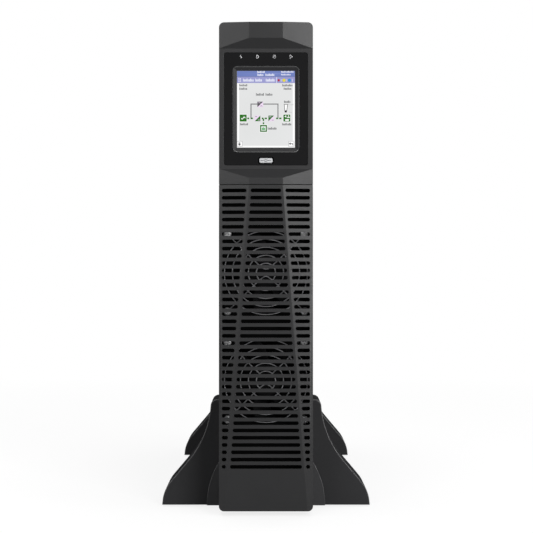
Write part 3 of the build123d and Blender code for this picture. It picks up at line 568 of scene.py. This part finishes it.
def fanBlade(sizes):
    # a thin cambered section is carried from root to tip; its chord grows, its pitch falls and it
    # is swept forwards by the square of the way out. h is the height of the camber line, a parabola
    # over the chord, plus or minus half the thickness, which falls to a rounded end at both edges
    out = np.linspace(0, 1, sizes["alongBlade"])[:, None]
    radius = sizes["rootRadius"] + out * (sizes["tipRadius"] - sizes["rootRadius"])
    chord = sizes["rootChord"] + out * (sizes["tipChord"] - sizes["rootChord"])
    pitch = np.radians(sizes["rootPitch"] + out * (sizes["tipPitch"] - sizes["rootPitch"]))
    sweep = math.radians(sizes["sweep"]) * out ** 2
    half = -np.cos(np.linspace(0, math.pi, sizes["acrossBlade"])) / 2
    u = np.concatenate([half, half[-2:0:-1]])[None, :]
    side = np.concatenate([np.ones(len(half)), -np.ones(len(half) - 2)])[None, :]
    thick = sizes["thickness"] / 2 * np.sqrt(np.clip(1 - (2 * u) ** 6, 0, 1))
    h = chord * sizes["camber"] * (1 - (2 * u) ** 2) + side * thick
    around = chord * u * np.cos(pitch) + h * np.sin(pitch)
    y = chord * u * np.sin(pitch) - h * np.cos(pitch)
    angle = around / radius + sweep
    points = np.stack([radius * np.cos(angle), y, radius * np.sin(angle)], axis=-1)
    rows, columns = angle.shape
    last = (rows - 1) * columns
    faces = gridFaces(rows, columns, False, True)
    faces += [list(range(columns - 1, -1, -1)), list(range(last, last + columns))]
    return points.reshape(-1, 3), faces


def aboutY(shape, degrees):
    turn = math.radians(degrees)
    x, y, z = shape[0].T
    points = [x * math.cos(turn) - z * math.sin(turn), y, x * math.sin(turn) + z * math.cos(turn)]
    return np.stack(points, axis=1), shape[1]


def fanRotor(place):
    sizes = rotorSizes
    low, high, _ = boxOf(f"fan_rotor_{place}")
    front, back, hub = low.y, low.y + sizes["hubLength"], sizes["hub"]
    rounding, bevel, dish, shaft = (sizes[key] for key in ("rounding", "bevel", "dish", "shaft"))
    turn = np.radians(np.linspace(0, 90, 7))
    rim = np.stack([hub - rounding + rounding * np.sin(turn),
                    front + rounding - rounding * np.cos(turn)], axis=1)
    profile = [(0, front + sizes["dishDepth"]), (dish - bevel, front + sizes["dishDepth"]),
               (dish, front), *rim.tolist(), (hub, back - bevel), (hub - bevel, back),
               (shaft, back), (shaft, high.y), (0, high.y)]
    blade = moved(fanBlade(sizes), y=(front + back) / 2)
    count = sizes["blades"]
    parts = [aboutY(blade, index * 360 / count) for index in range(count)]
    parts.append(turned(profile, sizes["hubSides"]))
    axis = boxOf(f"fan_frame_{place}")[2]
    makePiece(f"fanRotor{place.capitalize()}", moved(joined(parts), z=axis.z), "black_plastic",
              body=f"{place}_fan", stands=[f"fan_rotor_{place}"], sharp=40)


for place in ("lower", "upper"):
    fanRotor(place)
print("fan rotors made")


# Screws at the back and on the chassis. Their places and the thumb screws' sizes in millimetres
fittings = {"thumbRadius": 4.0, "thumbSides": 180, "ribs": 30, "ribDepth": 0.22, "bevel": 0.5,
            "dish": 1.7, "dishEdge": 2.0, "neck": 2.2, "neckLength": 0.9,
            "panelScrews": [(x, z) for z in (16.5, 383.0, 440.6) for x in (-37.6, 37.6)],
            "terminalScrewsX": (-30.0, 30.0), "edgeScrewX": 36.0,
            "topScrewsY": (-120.0, 60.0, 240.0), "floorScrewsY": (-120.0, 60.0)}
smallScrew = {"headRadius": 2.5 * mm, "headHeight": 1.3 * mm, "shankRadius": 1.4 * mm,
              "shankLength": 2.4 * mm, "crossHalf": 0.36 * mm, "crossReach": 1.5 * mm,
              "crossDepth": 0.75 * mm, "steps": 22}


def faced(shape, way):
    # what looks forwards is turned to look back, up or down
    x, y, z = shape[0].T
    turns = {"back": (-x, -y, z), "up": (x, z, -y), "down": (x, -z, y)}
    return np.stack(turns[way], axis=1), shape[1]


def thumbScrew(length):
    # a turned knob whose rim is drawn in by a cosine of the angle, once for each rib
    sizes = fittings
    radius, bevel, neck = sizes["thumbRadius"], sizes["bevel"], sizes["neck"]
    gap = sizes["neckLength"]
    profile = [(0, bevel - length), (sizes["dish"], bevel - length), (sizes["dishEdge"], -length),
               (radius - bevel, -length), (radius, bevel - length), (radius, -gap - bevel),
               (radius - bevel, -gap), (neck, -gap), (neck, 0), (0, 0)]
    points, faces = turned(np.array(profile) * mm, sizes["thumbSides"])
    angle = np.arctan2(points[:, 2], points[:, 0])
    atRim = np.hypot(points[:, 0], points[:, 2]) > (radius - bevel / 2) * mm
    wave = 0.5 + 0.5 * np.cos(sizes["ribs"] * angle)
    drawnIn = 1 - atRim * sizes["ribDepth"] / radius * wave
    return points * np.stack([drawnIn, np.ones(len(points)), drawnIn], axis=1), faces


def rearFittings():
    sizes = fittings
    low, high, middle = boxOf("thumb_screws")
    knob = faced(thumbScrew((high.y - low.y) / mm), "back")
    edge = sizes["thumbRadius"] * mm
    makePiece("thumbScrews", joined([moved(knob, x, low.y, middle.z)
                                     for x in (low.x + edge, high.x - edge)]),
              "screw_steel", stands=["thumb_screws"], sharp=50)
    toBack, toTop, toFloor = (faced(screwShape(smallScrew), way) for way in ("back", "up", "down"))
    panelY = boxOf("rear_panel")[1].y
    screws = [moved(toBack, x * mm, panelY, z * mm) for x, z in sizes["panelScrews"]]
    low, high, middle = boxOf("terminal_cover")
    for x in sizes["terminalScrewsX"]:
        screws += [moved(toTop, x * mm, middle.y, high.z), moved(toFloor, x * mm, middle.y, low.z)]
    low, high, _ = boxOf("chassis_tray")
    x = sizes["edgeScrewX"] * mm
    screws += [moved(toTop, x, y * mm, high.z) for y in sizes["topScrewsY"]]
    screws += [moved(toFloor, x, y * mm, low.z) for y in sizes["floorScrewsY"]]
    makePiece("chassisScrews", joined(screws), "screw_steel",
              finish=platedMetal("blackenedSteel", paint(70, 70, 72), 0.4, 1.0))


rearFittings()


# Inside the sockets, in millimetres. places are x and z from the middle of the socket, size is the
# width and height of one block, and ends are its distances from the socket's back and front
linerSizes = {"shell": 1.0, "backGap": 0.05, "frontGap": 0.5, "floor": 0.6}
contacts = {
    "network": {"places": [((index - 3.5) * 1.02, 3.75) for index in range(8)],
                "size": (0.44, 0.3), "ends": (1.5, 3.0)},
    "data": {"places": [(x, z) for x in (-1.3, 1.3) for z in (-1.975, 1.975)],
             "size": (1.0, 0.15), "ends": (3.0, 2.2)},
    "tongue": {"places": [(0.0, 0.0)], "size": (6.2, 3.9), "ends": (1.2, 1.9)},
    "battery": {"places": [(x, z) for x in (-6.0, 6.0) for z in (-9.25, 9.25)],
                "size": (1.6, 9.0), "ends": (2.0, 6.0)},
}
posts = {"places": (-12.5, 12.5), "radius": 2.5, "length": 4.4, "bore": 1.5, "rise": 1.0}
clamps = {"places": (-3.3, 3.3), "up": 2.2}
clampScrew = {**smallScrew, "headRadius": 1.5 * mm, "headHeight": 0.5 * mm,
              "shankRadius": 0.8 * mm, "shankLength": 1.0 * mm, "crossHalf": 0.25 * mm,
              "crossReach": 1.1 * mm, "crossDepth": 0.3 * mm}


def block(low, high):
    corners = [(x, y, z) for x in (low[0], high[0]) for y in (low[1], high[1])
               for z in (low[2], high[2])]
    faces = [[0, 1, 3, 2], [4, 6, 7, 5], [0, 4, 5, 1], [2, 3, 7, 6], [0, 2, 6, 4], [1, 5, 7, 3]]
    return np.array(corners) * mm, faces


def blocks(node, places, size, ends):
    # the same block at each place in a socket
    low, high, middle = boxOf(node, mm)
    width, height = size
    return [block((middle.x + x - width / 2, low.y + ends[0], middle.z + z - height / 2),
                  (middle.x + x + width / 2, high.y - ends[1], middle.z + z + height / 2))
            for x, z in places]


def liner(node, thick):
    # dark insulation inside an open socket shell
    sizes = linerSizes
    low, high, _ = boxOf(node, mm)
    back, front = low.y + sizes["shell"] + sizes["backGap"], high.y - sizes["frontGap"]
    left, right = low.x + sizes["shell"], high.x - sizes["shell"]
    bottom, top = low.z + sizes["shell"], high.z - sizes["shell"]
    return [block((left, back, bottom), (right, back + sizes["floor"], top)),
            block((left, back, bottom), (left + thick, front, top)),
            block((right - thick, back, bottom), (right, front, top)),
            block((left, back, bottom), (right, front, bottom + thick)),
            block((left, back, top - thick), (right, front, top))]


def hexagonPosts():
    # two threaded posts beside the serial socket, whose bore opens to the back
    radius, length, bore = (posts[key] for key in ("radius", "length", "bore"))
    middle = boxOf("serial_port")[2]
    profile = [(0, bore - length), (bore, bore - length), (bore, -length), (radius, -length),
               (radius, 0), (0, 0)]
    post = faced(turned(np.array(profile) * mm, 6), "back")
    y = boxOf("rear_panel")[1].y + posts["rise"] * mm
    return [moved(post, middle.x + x * mm, y, middle.z) for x in posts["places"]]


def clampScrews():
    _, high, middle = boxOf("epo_terminal")
    screw = faced(screwShape(clampScrew), "back")
    return [moved(screw, middle.x + x * mm, high.y, middle.z + clamps["up"] * mm)
            for x in clamps["places"]]


def socketContacts():
    # gilt strips in the network socket and on the data socket's tongue, blades for the battery
    gilt = blocks("network_port", **contacts["network"]) + blocks("usb_port", **contacts["data"])
    makePiece("giltContacts", joined(gilt), "stud_brass")
    dark = liner("network_port", 0.9) + liner("usb_port", 0.7)
    dark += blocks("usb_port", **contacts["tongue"])
    makePiece("socketLiners", joined(dark), "black_plastic")
    bare = blocks("battery_connector", **contacts["battery"]) + hexagonPosts() + clampScrews()
    makePiece("platedContacts", joined(bare), "port_metal")


socketContacts()
print("small fittings made")


# Flat drawing: figures in X and Z without thickness, which printed() puts onto a face

def polygon(corners):
    corners = np.array(corners, float)
    points = np.stack([corners[:, 0], np.zeros(len(corners)), corners[:, 1]], axis=1)
    return points, [list(range(len(corners)))]


def rectangle(x, z, width, height):
    # centre and size
    left, right, low, high = x - width / 2, x + width / 2, z - height / 2, z + height / 2
    return polygon([(left, low), (right, low), (right, high), (left, high)])


def disc(x, z, radius, steps=24):
    turn = np.linspace(0, 2 * math.pi, steps, endpoint=False)
    return polygon(np.stack([x + radius * np.cos(turn), z + radius * np.sin(turn)], axis=1))


def arc(x, z, radius, start, end, steps=16):
    turn = np.radians(np.linspace(start, end, steps))
    return np.stack([x + radius * np.cos(turn), z + radius * np.sin(turn)], axis=1)


mitreLimit = 0.35      # keeps the mitre of a sharp corner from running out


def stroke(corners, width, closed=False):
    # a band of even width along a line: each corner is shifted both ways along its mitre
    line = np.array(corners, float)
    ahead, along = lineWays(line, closed)
    mitre = np.stack([along[:, 1], -along[:, 0]], axis=1)
    reach = width / 2 / np.clip(np.sum(along * ahead, axis=1), mitreLimit, 1)[:, None]
    sides = np.stack([line + mitre * reach, line - mitre * reach], axis=1)
    points = np.stack([sides[..., 0], np.zeros(sides.shape[:2]), sides[..., 1]], axis=-1)
    return points.reshape(-1, 3), gridFaces(len(line), 2, closed)


inkThickness = 0.02 * mm


def printed(name, figures, y, slotName, body="root", finish=None, towards=-1):
    # thin ink: the figures lie at depth y and are thickened forwards, or backwards if towards is 1
    piece = makePiece(name, moved(joined(figures), y=y), slotName, closed=False,
                      body=body, finish=finish)
    work = bmesh.new()
    work.from_mesh(piece.data)
    wrong = [face for face in work.faces if face.normal.y * towards < 0]
    bmesh.ops.reverse_faces(work, faces=wrong)
    work.to_mesh(piece.data)
    work.free()
    solid = piece.modifiers.new("inkThickness", "SOLIDIFY")
    solid.thickness = inkThickness
    solid.offset = 1.0


# Printing at the back, in millimetres: insulator and holes of the serial socket, wire entries
# painted dark as painted shade, and the two marks of the breaker
rearMarks = {"insulatorTop": 6.5, "insulatorFoot": 7.6, "insulatorHalf": 3.4, "pinPitch": 2.76,
             "pinRow": 1.42, "pinRadius": 0.5, "entryX": 3.3, "entryDown": 1.7, "entry": (3.2, 3.0),
             "markInset": 2.5, "markZ": 2.6, "bar": (0.5, 2.4), "ring": 1.1, "ringLine": 0.45}
# dark ink: the insulator's own colour, and painted shade on the wire entries
rearInk = mouldedPlastic("rearInk", paint(12, 12, 13), 0.6, 0.2, 0.0003, 0.000005)
markInk = mouldedPlastic("markInk", paint(205, 205, 206), 0.5, 0.3, 0.0003, 0.000005)


def scaled(shape):
    # a figure drawn in millimetres, in metres
    return shape[0] * mm, shape[1]


def rearPrinting():
    marks = rearMarks
    _, high, middle = boxOf("serial_port", mm)
    top, foot, half = (marks[key] for key in ("insulatorTop", "insulatorFoot", "insulatorHalf"))
    insulator = moved(polygon([(-foot, -half), (foot, -half), (top, half), (-top, half)]),
                      middle.x, 0, middle.z)
    printed("serialInsulator", [scaled(insulator)], high.y * mm, "black_plastic",
            finish=rearInk, towards=1)
    pins = [(index - 2, -1) for index in range(5)] + [(index - 1.5, 1) for index in range(4)]
    holes = [disc(middle.x + x * marks["pinPitch"], middle.z + z * marks["pinRow"],
                  marks["pinRadius"], 12) for x, z in pins]
    printed("serialPins", [scaled(hole) for hole in holes], high.y * mm + inkThickness,
            "stud_brass", towards=1)
    _, high, middle = boxOf("epo_terminal", mm)
    # the wire entries are dark rectangles, a painted shade where the openings are
    entryShades = [rectangle(middle.x + side * marks["entryX"], middle.z - marks["entryDown"],
                         *marks["entry"]) for side in (-1, 1)]
    printed("wireEntries", [scaled(entry) for entry in entryShades], high.y * mm,
            "terminal_plastic", finish=rearInk, towards=1)
    _, high, middle = boxOf("input_breaker", mm)
    x = high.x - marks["markInset"]
    bar = rectangle(x, middle.z + marks["markZ"], *marks["bar"])
    ring = stroke(arc(x, middle.z - marks["markZ"], marks["ring"], 0, 345, 24),
                  marks["ringLine"], True)
    printed("breakerMarks", [scaled(bar), scaled(ring)], high.y * mm, "breaker_plastic",
            finish=markInk, towards=1)


rearPrinting()
print("back printed")


# Screen picture: header, menu band and a one-line power diagram. Sizes in millimetres from the
# screen's upper left corner. Words are rows of plain blocks: left, right, top, bottom, letters
picture = {
    "width": 52.9, "height": 70.1, "layer": 0.03 * mm, "shiftX": -0.6, "shiftUp": 0.8,
    "letter": 0.74, "letterGap": 0.32, "low": 0.74, "narrow": 0.8,
    "rim": 1.9, "footRim": 1.6, "overlap": 4.0, "lineZ": 44.2,
    "bands": [("header", 3.0, 6.0), ("loop", 6.1, 0.2), ("band", 9.0, 5.6)],
    "discs": [("red", 38.7, 9.3, 1.1), ("yellow", 43.6, 9.3, 1.5), ("blue", 48.6, 9.3, 1.45)],
    "headings": [(18.8, 26.0, 0.8, 2.5, 7), (19.0, 24.7, 3.3, 5.3, 6), (26.4, 34.8, 3.3, 5.3, 8),
                 (40.7, 52.4, 0.8, 2.3, 11), (40.8, 49.8, 3.4, 4.8, 9), (5.8, 15.9, 7.8, 10.5, 9),
                 (17.1, 23.4, 7.8, 10.5, 6), (26.7, 35.0, 7.8, 10.5, 8)],
    "labels": [(2.4, 10.0, 12.9, 14.8, 7), (2.4, 10.0, 16.0, 18.0, 6),
               (41.8, 51.5, 12.9, 14.9, 9), (43.1, 50.4, 16.0, 18.0, 6),
               (17.7, 25.3, 21.1, 23.4, 7), (26.5, 33.0, 21.1, 23.4, 6),
               (43.4, 49.6, 27.9, 30.0, 5), (3.1, 10.7, 48.5, 50.5, 7),
               (41.8, 50.3, 48.5, 50.6, 8), (28.4, 36.8, 52.3, 54.5, 8)],
    "dashes": [(9.9, 11.5), (13.1, 14.9), (23.4, 24.5), (26.0, 27.8), (36.5, 38.2), (39.3, 41.1)],
}
inks = {
    "header": paint(112, 128, 190), "band": paint(153, 154, 205), "pale": paint(236, 238, 250),
    "dark": paint(70, 70, 72), "words": paint(96, 96, 98), "loop": paint(120, 120, 122),
    "green": paint(34, 110, 20), "lilac": paint(236, 216, 240), "mint": paint(112, 178, 124),
    "red": paint(176, 24, 44), "yellow": paint(226, 214, 50), "blue": paint(50, 140, 206),
    "black": paint(24, 24, 24), "white": paint(250, 250, 250), "pebble": paint(205, 205, 206),
}
drawn = {}


def onScreen(shape):
    # from picture places to the frame: x from the left edge, height from the top edge, with a small
    # shift, and cut off at the edges of the screen
    middle = boxOf("screen")[2]
    halfWidth, halfHeight = picture["width"] / 2, picture["height"] / 2
    x = np.clip(shape[0][:, 0] - halfWidth + picture["shiftX"], -halfWidth, halfWidth)
    z = np.clip(halfHeight - shape[0][:, 2] + picture["shiftUp"], -halfHeight, halfHeight)
    points = np.stack([x * mm + middle.x, np.zeros(len(x)), z * mm + middle.z], axis=1)
    return points, shape[1]


def draw(ink, layer, *shapes):
    drawn.setdefault((ink, layer), []).extend(onScreen(shape) for shape in shapes)


def word(left, right, top, bottom, letters):
    # every third block is taller and every fourth narrower, as letters are
    pitch = (right - left) / letters
    share = picture["letter"] / (picture["letter"] + picture["letterGap"])
    shapes = []
    for index in range(letters):
        tall = (bottom - top) * (picture["low"] if index % 3 else 1.0)
        width = pitch * share * (1.0 if index % 4 else picture["narrow"])
        shapes.append(rectangle(left + (index + 0.5) * pitch, bottom - tall / 2, width, tall))
    return shapes


def squares(ink, layer, size, places):
    # equal squares around their places
    draw(ink, layer, *[rectangle(x, z, size, size) for x, z in places])


def drawHead():
    width, height = picture["width"], picture["height"]
    middle, wide = width / 2, width + picture["overlap"]
    for ink, z, tall in picture["bands"]:
        draw(ink, 1, rectangle(middle, z, wide, tall))
    # white rim at the left, at the right and below
    rim, footRim, left = picture["rim"], picture["footRim"], -picture["shiftX"]
    draw("white", 1, rectangle(left + rim / 2, 41.0, rim, 58.0),
         rectangle(left + width - rim / 2, 41.0, rim, 58.0),
         rectangle(middle, height + picture["shiftUp"] - footRim / 2, wide, footRim))
    for place in picture["headings"]:
        draw("pale", 2, *word(*place))
    draw("pale", 2, *[rectangle(x, 7.8 + 1.25 * row, 0.9, 0.75)
                      for row in range(3) for x in (2.3, 3.7)])
    draw("pale", 2, rectangle(36.8, 9.0, 0.45, 5.2),
         *[rectangle(x, 9.4, 0.4, 2.4) for x in (41.0, 46.1, 51.2)])
    for ink, *place in picture["discs"]:
        draw(ink, 2, disc(*place))


def drawDiagram():
    # names and values beside the input and the output
    for place in picture["labels"]:
        draw("words", 2, *word(*place))
    draw("pebble", 2, rectangle(48.2, 31.4, 1.6, 0.4), *word(49.2, 52.2, 30.9, 32.2, 4),
         *word(47.9, 51.0, 37.9, 39.2, 3))
    # bypass loop with its switch
    draw("loop", 2, stroke([(13.35, 43.7), (13.35, 31.1), (38.05, 31.1), (38.05, 43.7)], 0.95))
    draw("lilac", 3, rectangle(21.8, 31.4, 5.4, 5.2))
    draw("dark", 4, polygon([(19.2, 28.9), (24.4, 28.9), (19.2, 33.9)]))
    draw("lilac", 5, stroke([(20.0, 30.2), (20.9, 29.7), (21.8, 30.2)], 0.4))
    draw("dark", 5, stroke([(21.9, 33.1), (22.8, 32.6), (23.7, 33.1)], 0.4))
    # main line in dashes, down to the battery
    lineZ = picture["lineZ"]
    for left, right in picture["dashes"]:
        draw("green", 2, rectangle((left + right) / 2, lineZ, right - left + 0.3, 1.4))
    draw("green", 2, stroke([(23.9, lineZ), (24.7, 44.9), (24.8, 46.7)], 1.2),
         rectangle(24.8, 48.7, 1.3, 1.7))
    # source with a wave, load with a plug
    ends = [(6.2, 43.9), (46.2, 43.9)]
    squares("white", 2, 7.4, ends)
    squares("green", 3, 6.4, ends)
    wave = np.linspace(-1, 1, 17)
    curve = np.stack([6.2 + 1.8 * wave, 43.9 - 1.0 * np.sin(math.pi * wave)], axis=1)
    draw("white", 4, stroke(curve, 0.65))
    draw("white", 4, rectangle(46.4, 45.7, 3.4, 1.5),
         polygon([(43.9, 42.6), (45.3, 41.3), (46.0, 43.4)]),
         rectangle(47.7, 43.3, 2.4, 0.8), rectangle(47.7, 42.0, 0.7, 1.4))
    # two converters
    squares("lilac", 3, 5.3, [(19.3, 44.2), (31.9, 44.2)])
    draw("green", 4, polygon([(21.9, 41.6), (21.9, 46.8), (16.7, 46.8)]),
         polygon([(29.3, 41.6), (34.5, 41.6), (29.3, 46.8)]))
    draw("words", 5, stroke([(17.3, 42.8), (18.1, 42.3), (18.9, 42.8)], 0.4),
         rectangle(33.2, 45.8, 1.8, 0.4))
    draw("lilac", 5, rectangle(20.6, 45.7, 1.8, 0.4),
         stroke([(30.0, 43.0), (30.9, 42.5), (31.8, 43.0)], 0.4))
    # battery
    squares("white", 2, 7.2, [(24.8, 53.4)])
    squares("green", 3, 6.3, [(24.8, 53.4)])
    draw("white", 4, rectangle(24.8, 53.5, 4.1, 3.9))
    draw("mint", 5, rectangle(24.8, 53.9, 3.1, 2.3), rectangle(24.8, 52.3, 1.3, 0.5))


def drawCorners():
    # load gauge: a tapered outline filled at its foot
    draw("white", 2, polygon([(43.7, 31.3), (47.0, 31.3), (46.0, 38.8), (44.5, 38.8)]))
    draw("black", 3, stroke([(43.8, 31.4), (47.0, 31.4), (45.9, 38.5), (44.5, 38.5)], 0.45, True),
         polygon([(44.3, 36.9), (46.2, 36.9), (45.9, 38.8), (44.4, 38.8)]))
    # key caps in the two lower corners
    for x in (2.95, 50.3):
        squares("white", 2, 5.0, [(x, 67.6)])
        cap = [(x - 2.4, 65.2), (x + 2.4, 65.2), (x + 2.4, 70.0), (x - 2.4, 70.0)]
        draw("loop", 3, stroke(cap, 0.25, True))
    draw("dark", 4, disc(2.8, 68.1, 0.95), stroke(arc(2.8, 67.2, 0.7, 180, 360), 0.45))
    draw("dark", 4, polygon([(48.0, 67.4), (49.6, 66.2), (49.6, 68.6)]),
         stroke([(49.4, 67.4), (51.6, 67.4), (51.6, 68.9)], 0.6))


drawHead()
drawDiagram()
drawCorners()
for (ink, layer), shapes in drawn.items():
    printed(f"screenInk{ink.capitalize()}{layer}", shapes,
            boxOf("screen")[0].y - layer * picture["layer"], "screen_glass",
            finish=litInk(f"ink{ink.capitalize()}{layer}", inks[ink]))
print("screen picture drawn in", len(drawn), "inks")


# Status signs above the screen: a bolt, a cell, a crossed page and a warning sign, lying on their
# sides. Their corners are in half sign heights, and their lines in shares of the line width
signs = {"first": -23.0 * mm, "pitch": 15.35 * mm, "belowEdge": 5.15 * mm, "half": 1.75 * mm,
         "line": 0.46 * mm, "recess": 3.7 * mm,
         "bolt": [(0.12, 0.84), (-0.42, 0.3), (0.46, -0.26), (-0.1, -0.84)],
         "page": [(-0.6, -0.8), (0.3, -0.8), (0.58, -0.5), (0.58, 0.8), (-0.6, 0.8)],
         "cross": [(0.62, 0.9), (-0.55, -0.3)],
         "warning": [(-0.6, -0.92), (0.74, 0.0), (-0.6, 0.92)],
         "weights": {"bolt": 1.15, "cell": 1.15, "fill": 0.8, "page": 0.7, "cross": 0.9,
                     "warning": 0.85}}
keySizes = {"ring": 1.2 * mm, "from": 125, "to": 415, "line": 0.5 * mm, "stem": 1.2 * mm,
            "bar": (3.0 * mm, 0.55 * mm), "barX": 3.2 * mm}
signInk = mouldedPlastic("signInk", paint(178, 178, 180), 0.5, 0.3, 0.0003, 0.000005)
keyInk = mouldedPlastic("keyInk", paint(92, 93, 96), 0.5, 0.3, 0.0003, 0.000005)


def statusSigns():
    half = signs["half"]
    line = {part: signs["line"] * weight for part, weight in signs["weights"].items()}
    bolt, page, cross, warning = (np.array(signs[key]) * half
                                  for key in ("bolt", "page", "cross", "warning"))
    cell = [*arc(-0.2 * half, 0, half * 0.75, -90, 90, 18),
            (-0.58 * half, 0.75 * half), (-0.58 * half, -0.75 * half)]
    figures = [[stroke(bolt, line["bolt"])],
               [stroke(cell, line["cell"], True),
                rectangle(-0.35 * half, 0, half * 0.4, line["fill"])],
               [stroke(page, line["page"], True), stroke(cross, line["cross"])],
               [stroke(warning, line["warning"], True)]]
    z = boxOf("display_panel")[1].z - signs["belowEdge"]
    shapes = []
    for index, group in enumerate(figures):
        x = signs["first"] + index * signs["pitch"]
        shapes += [moved(shape, x, 0, z) for shape in group]
    printed("statusSigns", shapes, boxOf("display_surround")[0].y + signs["recess"], "gloss_panel",
            finish=signInk)


def keyMark():
    # a broken ring with a stem, between two bars
    sizes = keySizes
    ring = stroke(arc(0, 0, sizes["ring"], sizes["from"], sizes["to"], 28), sizes["line"])
    stem = rectangle(0, sizes["stem"] / 2, sizes["line"], sizes["stem"])
    bars = [rectangle(side * sizes["barX"], 0, *sizes["bar"]) for side in (-1, 1)]
    z = boxOf("button_guide")[2].z
    printed("keyMark", [moved(shape, z=z) for shape in (ring, stem, *bars)],
            boxOf("power_button")[0].y, "key_plastic", body="power_key", finish=keyInk)


statusSigns()
keyMark()
print("signs printed")


# Stage, light and camera. Each light has its place, its size and its power
studio = {"floorHalf": 6.0, "ambient": 0.18, "floorColour": 0.93, "floorBounce": 0.4,
          "whiteShare": 0.8, "fadeFrom": 0.35, "fadeOver": 1.2, "aim": (0.0, -0.1, 0.22),
          "lights": {
              "keyRight": ((0.86, -2.15, 0.84), (0.75, 1.4), 33.0),
              "fillLeft": ((-0.86, -2.15, 0.94), (0.75, 1.2), 12.0),
              "sideRight": ((1.9, -1.5, 0.7), (0.9, 1.2), 14.0),
              "overhead": ((0.0, 0.3, 2.6), (2.4, 2.4), 60.0),
              "front": ((0.0, -3.2, 0.75), (3.0, 1.2), 6.5),
          }}


def whiteForEyes(maker):
    # 1 for the camera and for what shows in gloss or glass, 0 for the light that it casts
    paths = [maker.add("LightPath", output=f"Is {kind} Ray")
             for kind in ("Camera", "Glossy", "Transmission")]
    return maker.add("Math", {"operation": "MINIMUM"}, (paths[0] + paths[1] + paths[2], 1.0))


def makeFloor():
    half = studio["floorHalf"]
    points = [(-half, -half, 0), (half, -half, 0), (half, half, 0), (-half, half, 0)]
    mesh = bpy.data.meshes.new("floor")
    mesh.from_pydata(points, [], [[0, 1, 2, 3]])
    floor = bpy.data.objects.new("floor", mesh)
    bpy.context.scene.collection.objects.link(floor)
    maker = Finish("floorPaper", {"Roughness": 0.9, "Specular IOR Level": 0.1})
    seen = whiteForEyes(maker)
    bounce, pale = [(*[studio[key]] * 3, 1.0) for key in ("floorBounce", "floorColour")]
    maker.set(Base_Color=maker.mix(seen, bounce, pale))
    glow = maker.add("Emission", {}, {"Color": (1, 1, 1, 1), "Strength": 1.0})
    lit = Wire(maker, maker.shader.outputs[0])
    # near the object part of its shadow shows; further away the paper turns plain white
    away = maker.add("VectorMath", {"operation": "LENGTH"}, {0: maker.place()}, output="Value")
    far = maker.add("Math", {"operation": "MULTIPLY", "use_clamp": True},
                    (away - studio["fadeFrom"], 1 / studio["fadeOver"]))
    white = far * (1 - studio["whiteShare"]) + studio["whiteShare"]
    both = maker.add("MixShader", {}, {0: seen * white, 1: lit, 2: glow})
    maker.tree.links.new(both.socket, maker.tree.nodes["Material Output"].inputs["Surface"])
    mesh.materials.append(maker.material)


def makeWorld():
    world = bpy.data.worlds.new("whiteRoom")
    bpy.context.scene.world = world
    world.use_nodes = True
    maker = Finish("whiteRoom", {}, world.node_tree)
    background = world.node_tree.nodes["Background"]
    background.inputs["Color"].default_value = (1, 1, 1, 1)
    seen = whiteForEyes(maker)
    maker.feed(background.inputs["Strength"],
               seen * (1 - studio["ambient"]) + studio["ambient"])


def makeLights():
    for name, (place, size, power) in studio["lights"].items():
        light = bpy.data.lights.new(name, "AREA")
        light.shape = "RECTANGLE"
        light.size, light.size_y = size
        light.energy = power
        lamp = bpy.data.objects.new(name, light)
        lamp.location = place
        aim = np.array(studio["aim"]) - np.array(place)
        lamp.rotation_euler = (math.atan2(math.hypot(aim[0], aim[1]), -aim[2]), 0,
                               math.atan2(aim[1], aim[0]) - math.pi / 2)
        bpy.context.scene.collection.objects.link(lamp)


makeFloor()
makeWorld()
makeLights()

view = {"distance": 1.4, "across": 0.0005, "height": 0.22325, "lens": 103.6, "sensor": 36.0,
        "shiftUp": 0.0096, "farthest": 50.0}
camera = bpy.data.cameras.new("frontCamera")
camera.lens, camera.sensor_width = view["lens"], view["sensor"]
camera.shift_y = view["shiftUp"]
camera.clip_end = view["farthest"]
eye = bpy.data.objects.new("frontCamera", camera)
eye.location = (view["across"], cadLow.y - view["distance"], view["height"])
eye.rotation_euler = (math.pi / 2, 0, 0)
bpy.context.scene.collection.objects.link(eye)
bpy.context.scene.camera = eye
bpy.context.scene.view_settings.view_transform = "Standard"
print("stage set")
